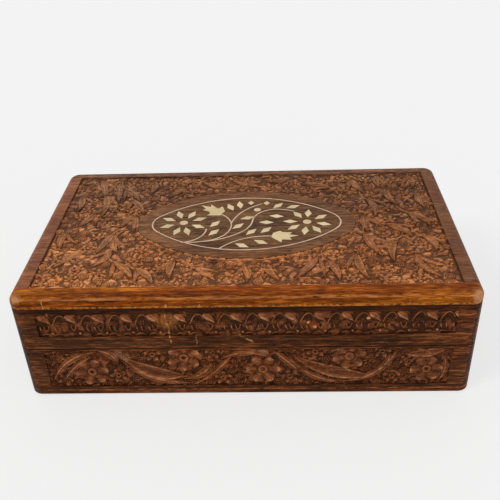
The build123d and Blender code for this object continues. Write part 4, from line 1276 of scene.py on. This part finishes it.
# ---- bone inlay ----
# Thin pieces of bone sawn by hand, glued into pockets and scraped level with the oval. Their edges
# have worn a little round, and dark glue and old wax have filled the line round each of them.
def bone_finish(name, *tones):
    """Scraped bone: cloudy between two tones, with fine darker fibres in a third along it."""
    material, tree = new_material(name)
    shaded, clear, fibre = (paint(*tone) for tone in tones)
    clouds = noise(place_on_box(tree), (120, 120, 120), detail=3)
    fibres = noise(place_on_box(tree), (160, 1900, 1900), detail=2)
    ivory = mix(fade(clouds, 0.3, 0.7), shaded, clear)
    feed(tree, Base_Color=mix(fade(fibres, 0.55, 0.8, 0.0, 0.3), ivory, fibre))
    feed(tree, Roughness=calc("MULTIPLY_ADD", fibres, 0.2, 0.35), Specular_IOR_Level=0.3)
    roughen(fibres, 0.15, 0.1 * MM)
    return material


lozenge_bone = bone_finish("lozenge_bone", (202, 178, 138), (226, 203, 160), (176, 146, 104))
tulip_bone = bone_finish("tulip_bone", (199, 175, 130), (218, 195, 152), (170, 146, 98))
line_bone = bone_finish("line_bone", (198, 166, 140), (222, 190, 162), (170, 132, 104))

glue, tree = new_material("dark_glue")
grime_and_shade = noise(place_on_box(tree), (900, 900, 900), detail=3)
feed(tree, Base_Color=mix(grime_and_shade, paint(28, 18, 8), paint(62, 46, 22)))
feed(tree, Roughness=calc("MULTIPLY_ADD", grime_and_shade, 0.3, 0.5))

# the width of the line of glue and how far the edge has worn down, in millimetres
LINE_WEAR, SHAPE_WEAR = (0.03, 0.06), (0.05, 0.14)
FLAT = 0.02  # radians between triangles of one flat face
for name, wear, bone in (
    ("inlay_border", LINE_WEAR, line_bone),
    ("inlay_stems", LINE_WEAR, line_bone),
    ("inlay_left_rosette", SHAPE_WEAR, lozenge_bone),
    ("inlay_right_rosette", SHAPE_WEAR, lozenge_bone),
    ("inlay_left_tulip", SHAPE_WEAR, tulip_bone),
    ("inlay_right_tulip", SHAPE_WEAR, tulip_bone),
    ("inlay_leaves", SHAPE_WEAR, lozenge_bone),
):
    line, sunk = wear
    form = merged_copy(name)
    bmesh.ops.dissolve_limit(form, angle_limit=FLAT, verts=form.verts, edges=form.edges)
    top = [face for face in form.faces if face.normal.z > 0.9]
    outline = {vert for face in top for vert in face.verts}
    bmesh.ops.inset_region(form, faces=top, thickness=line * MM, use_boundary=True, use_even_offset=True)
    for vert in outline:
        vert.co.z -= sunk * MM
    for face in form.faces:
        face.material_index = 0 if face in top else 1
    piece = new_piece(form, f"{name}_bone", bone, glue)
    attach(piece, "lid")
    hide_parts(name)


# ---- linings of the lid ----
# The lid is lined as the base is, with velvet over card on its four sides and under the panel. The
# cards are glued to the boards behind them.
line_with_velvet("lid_ceiling_lining", "lid")
for side in ("front", "back", "left", "right"):
    line_with_velvet(f"lid_{side}_lining", "lid")
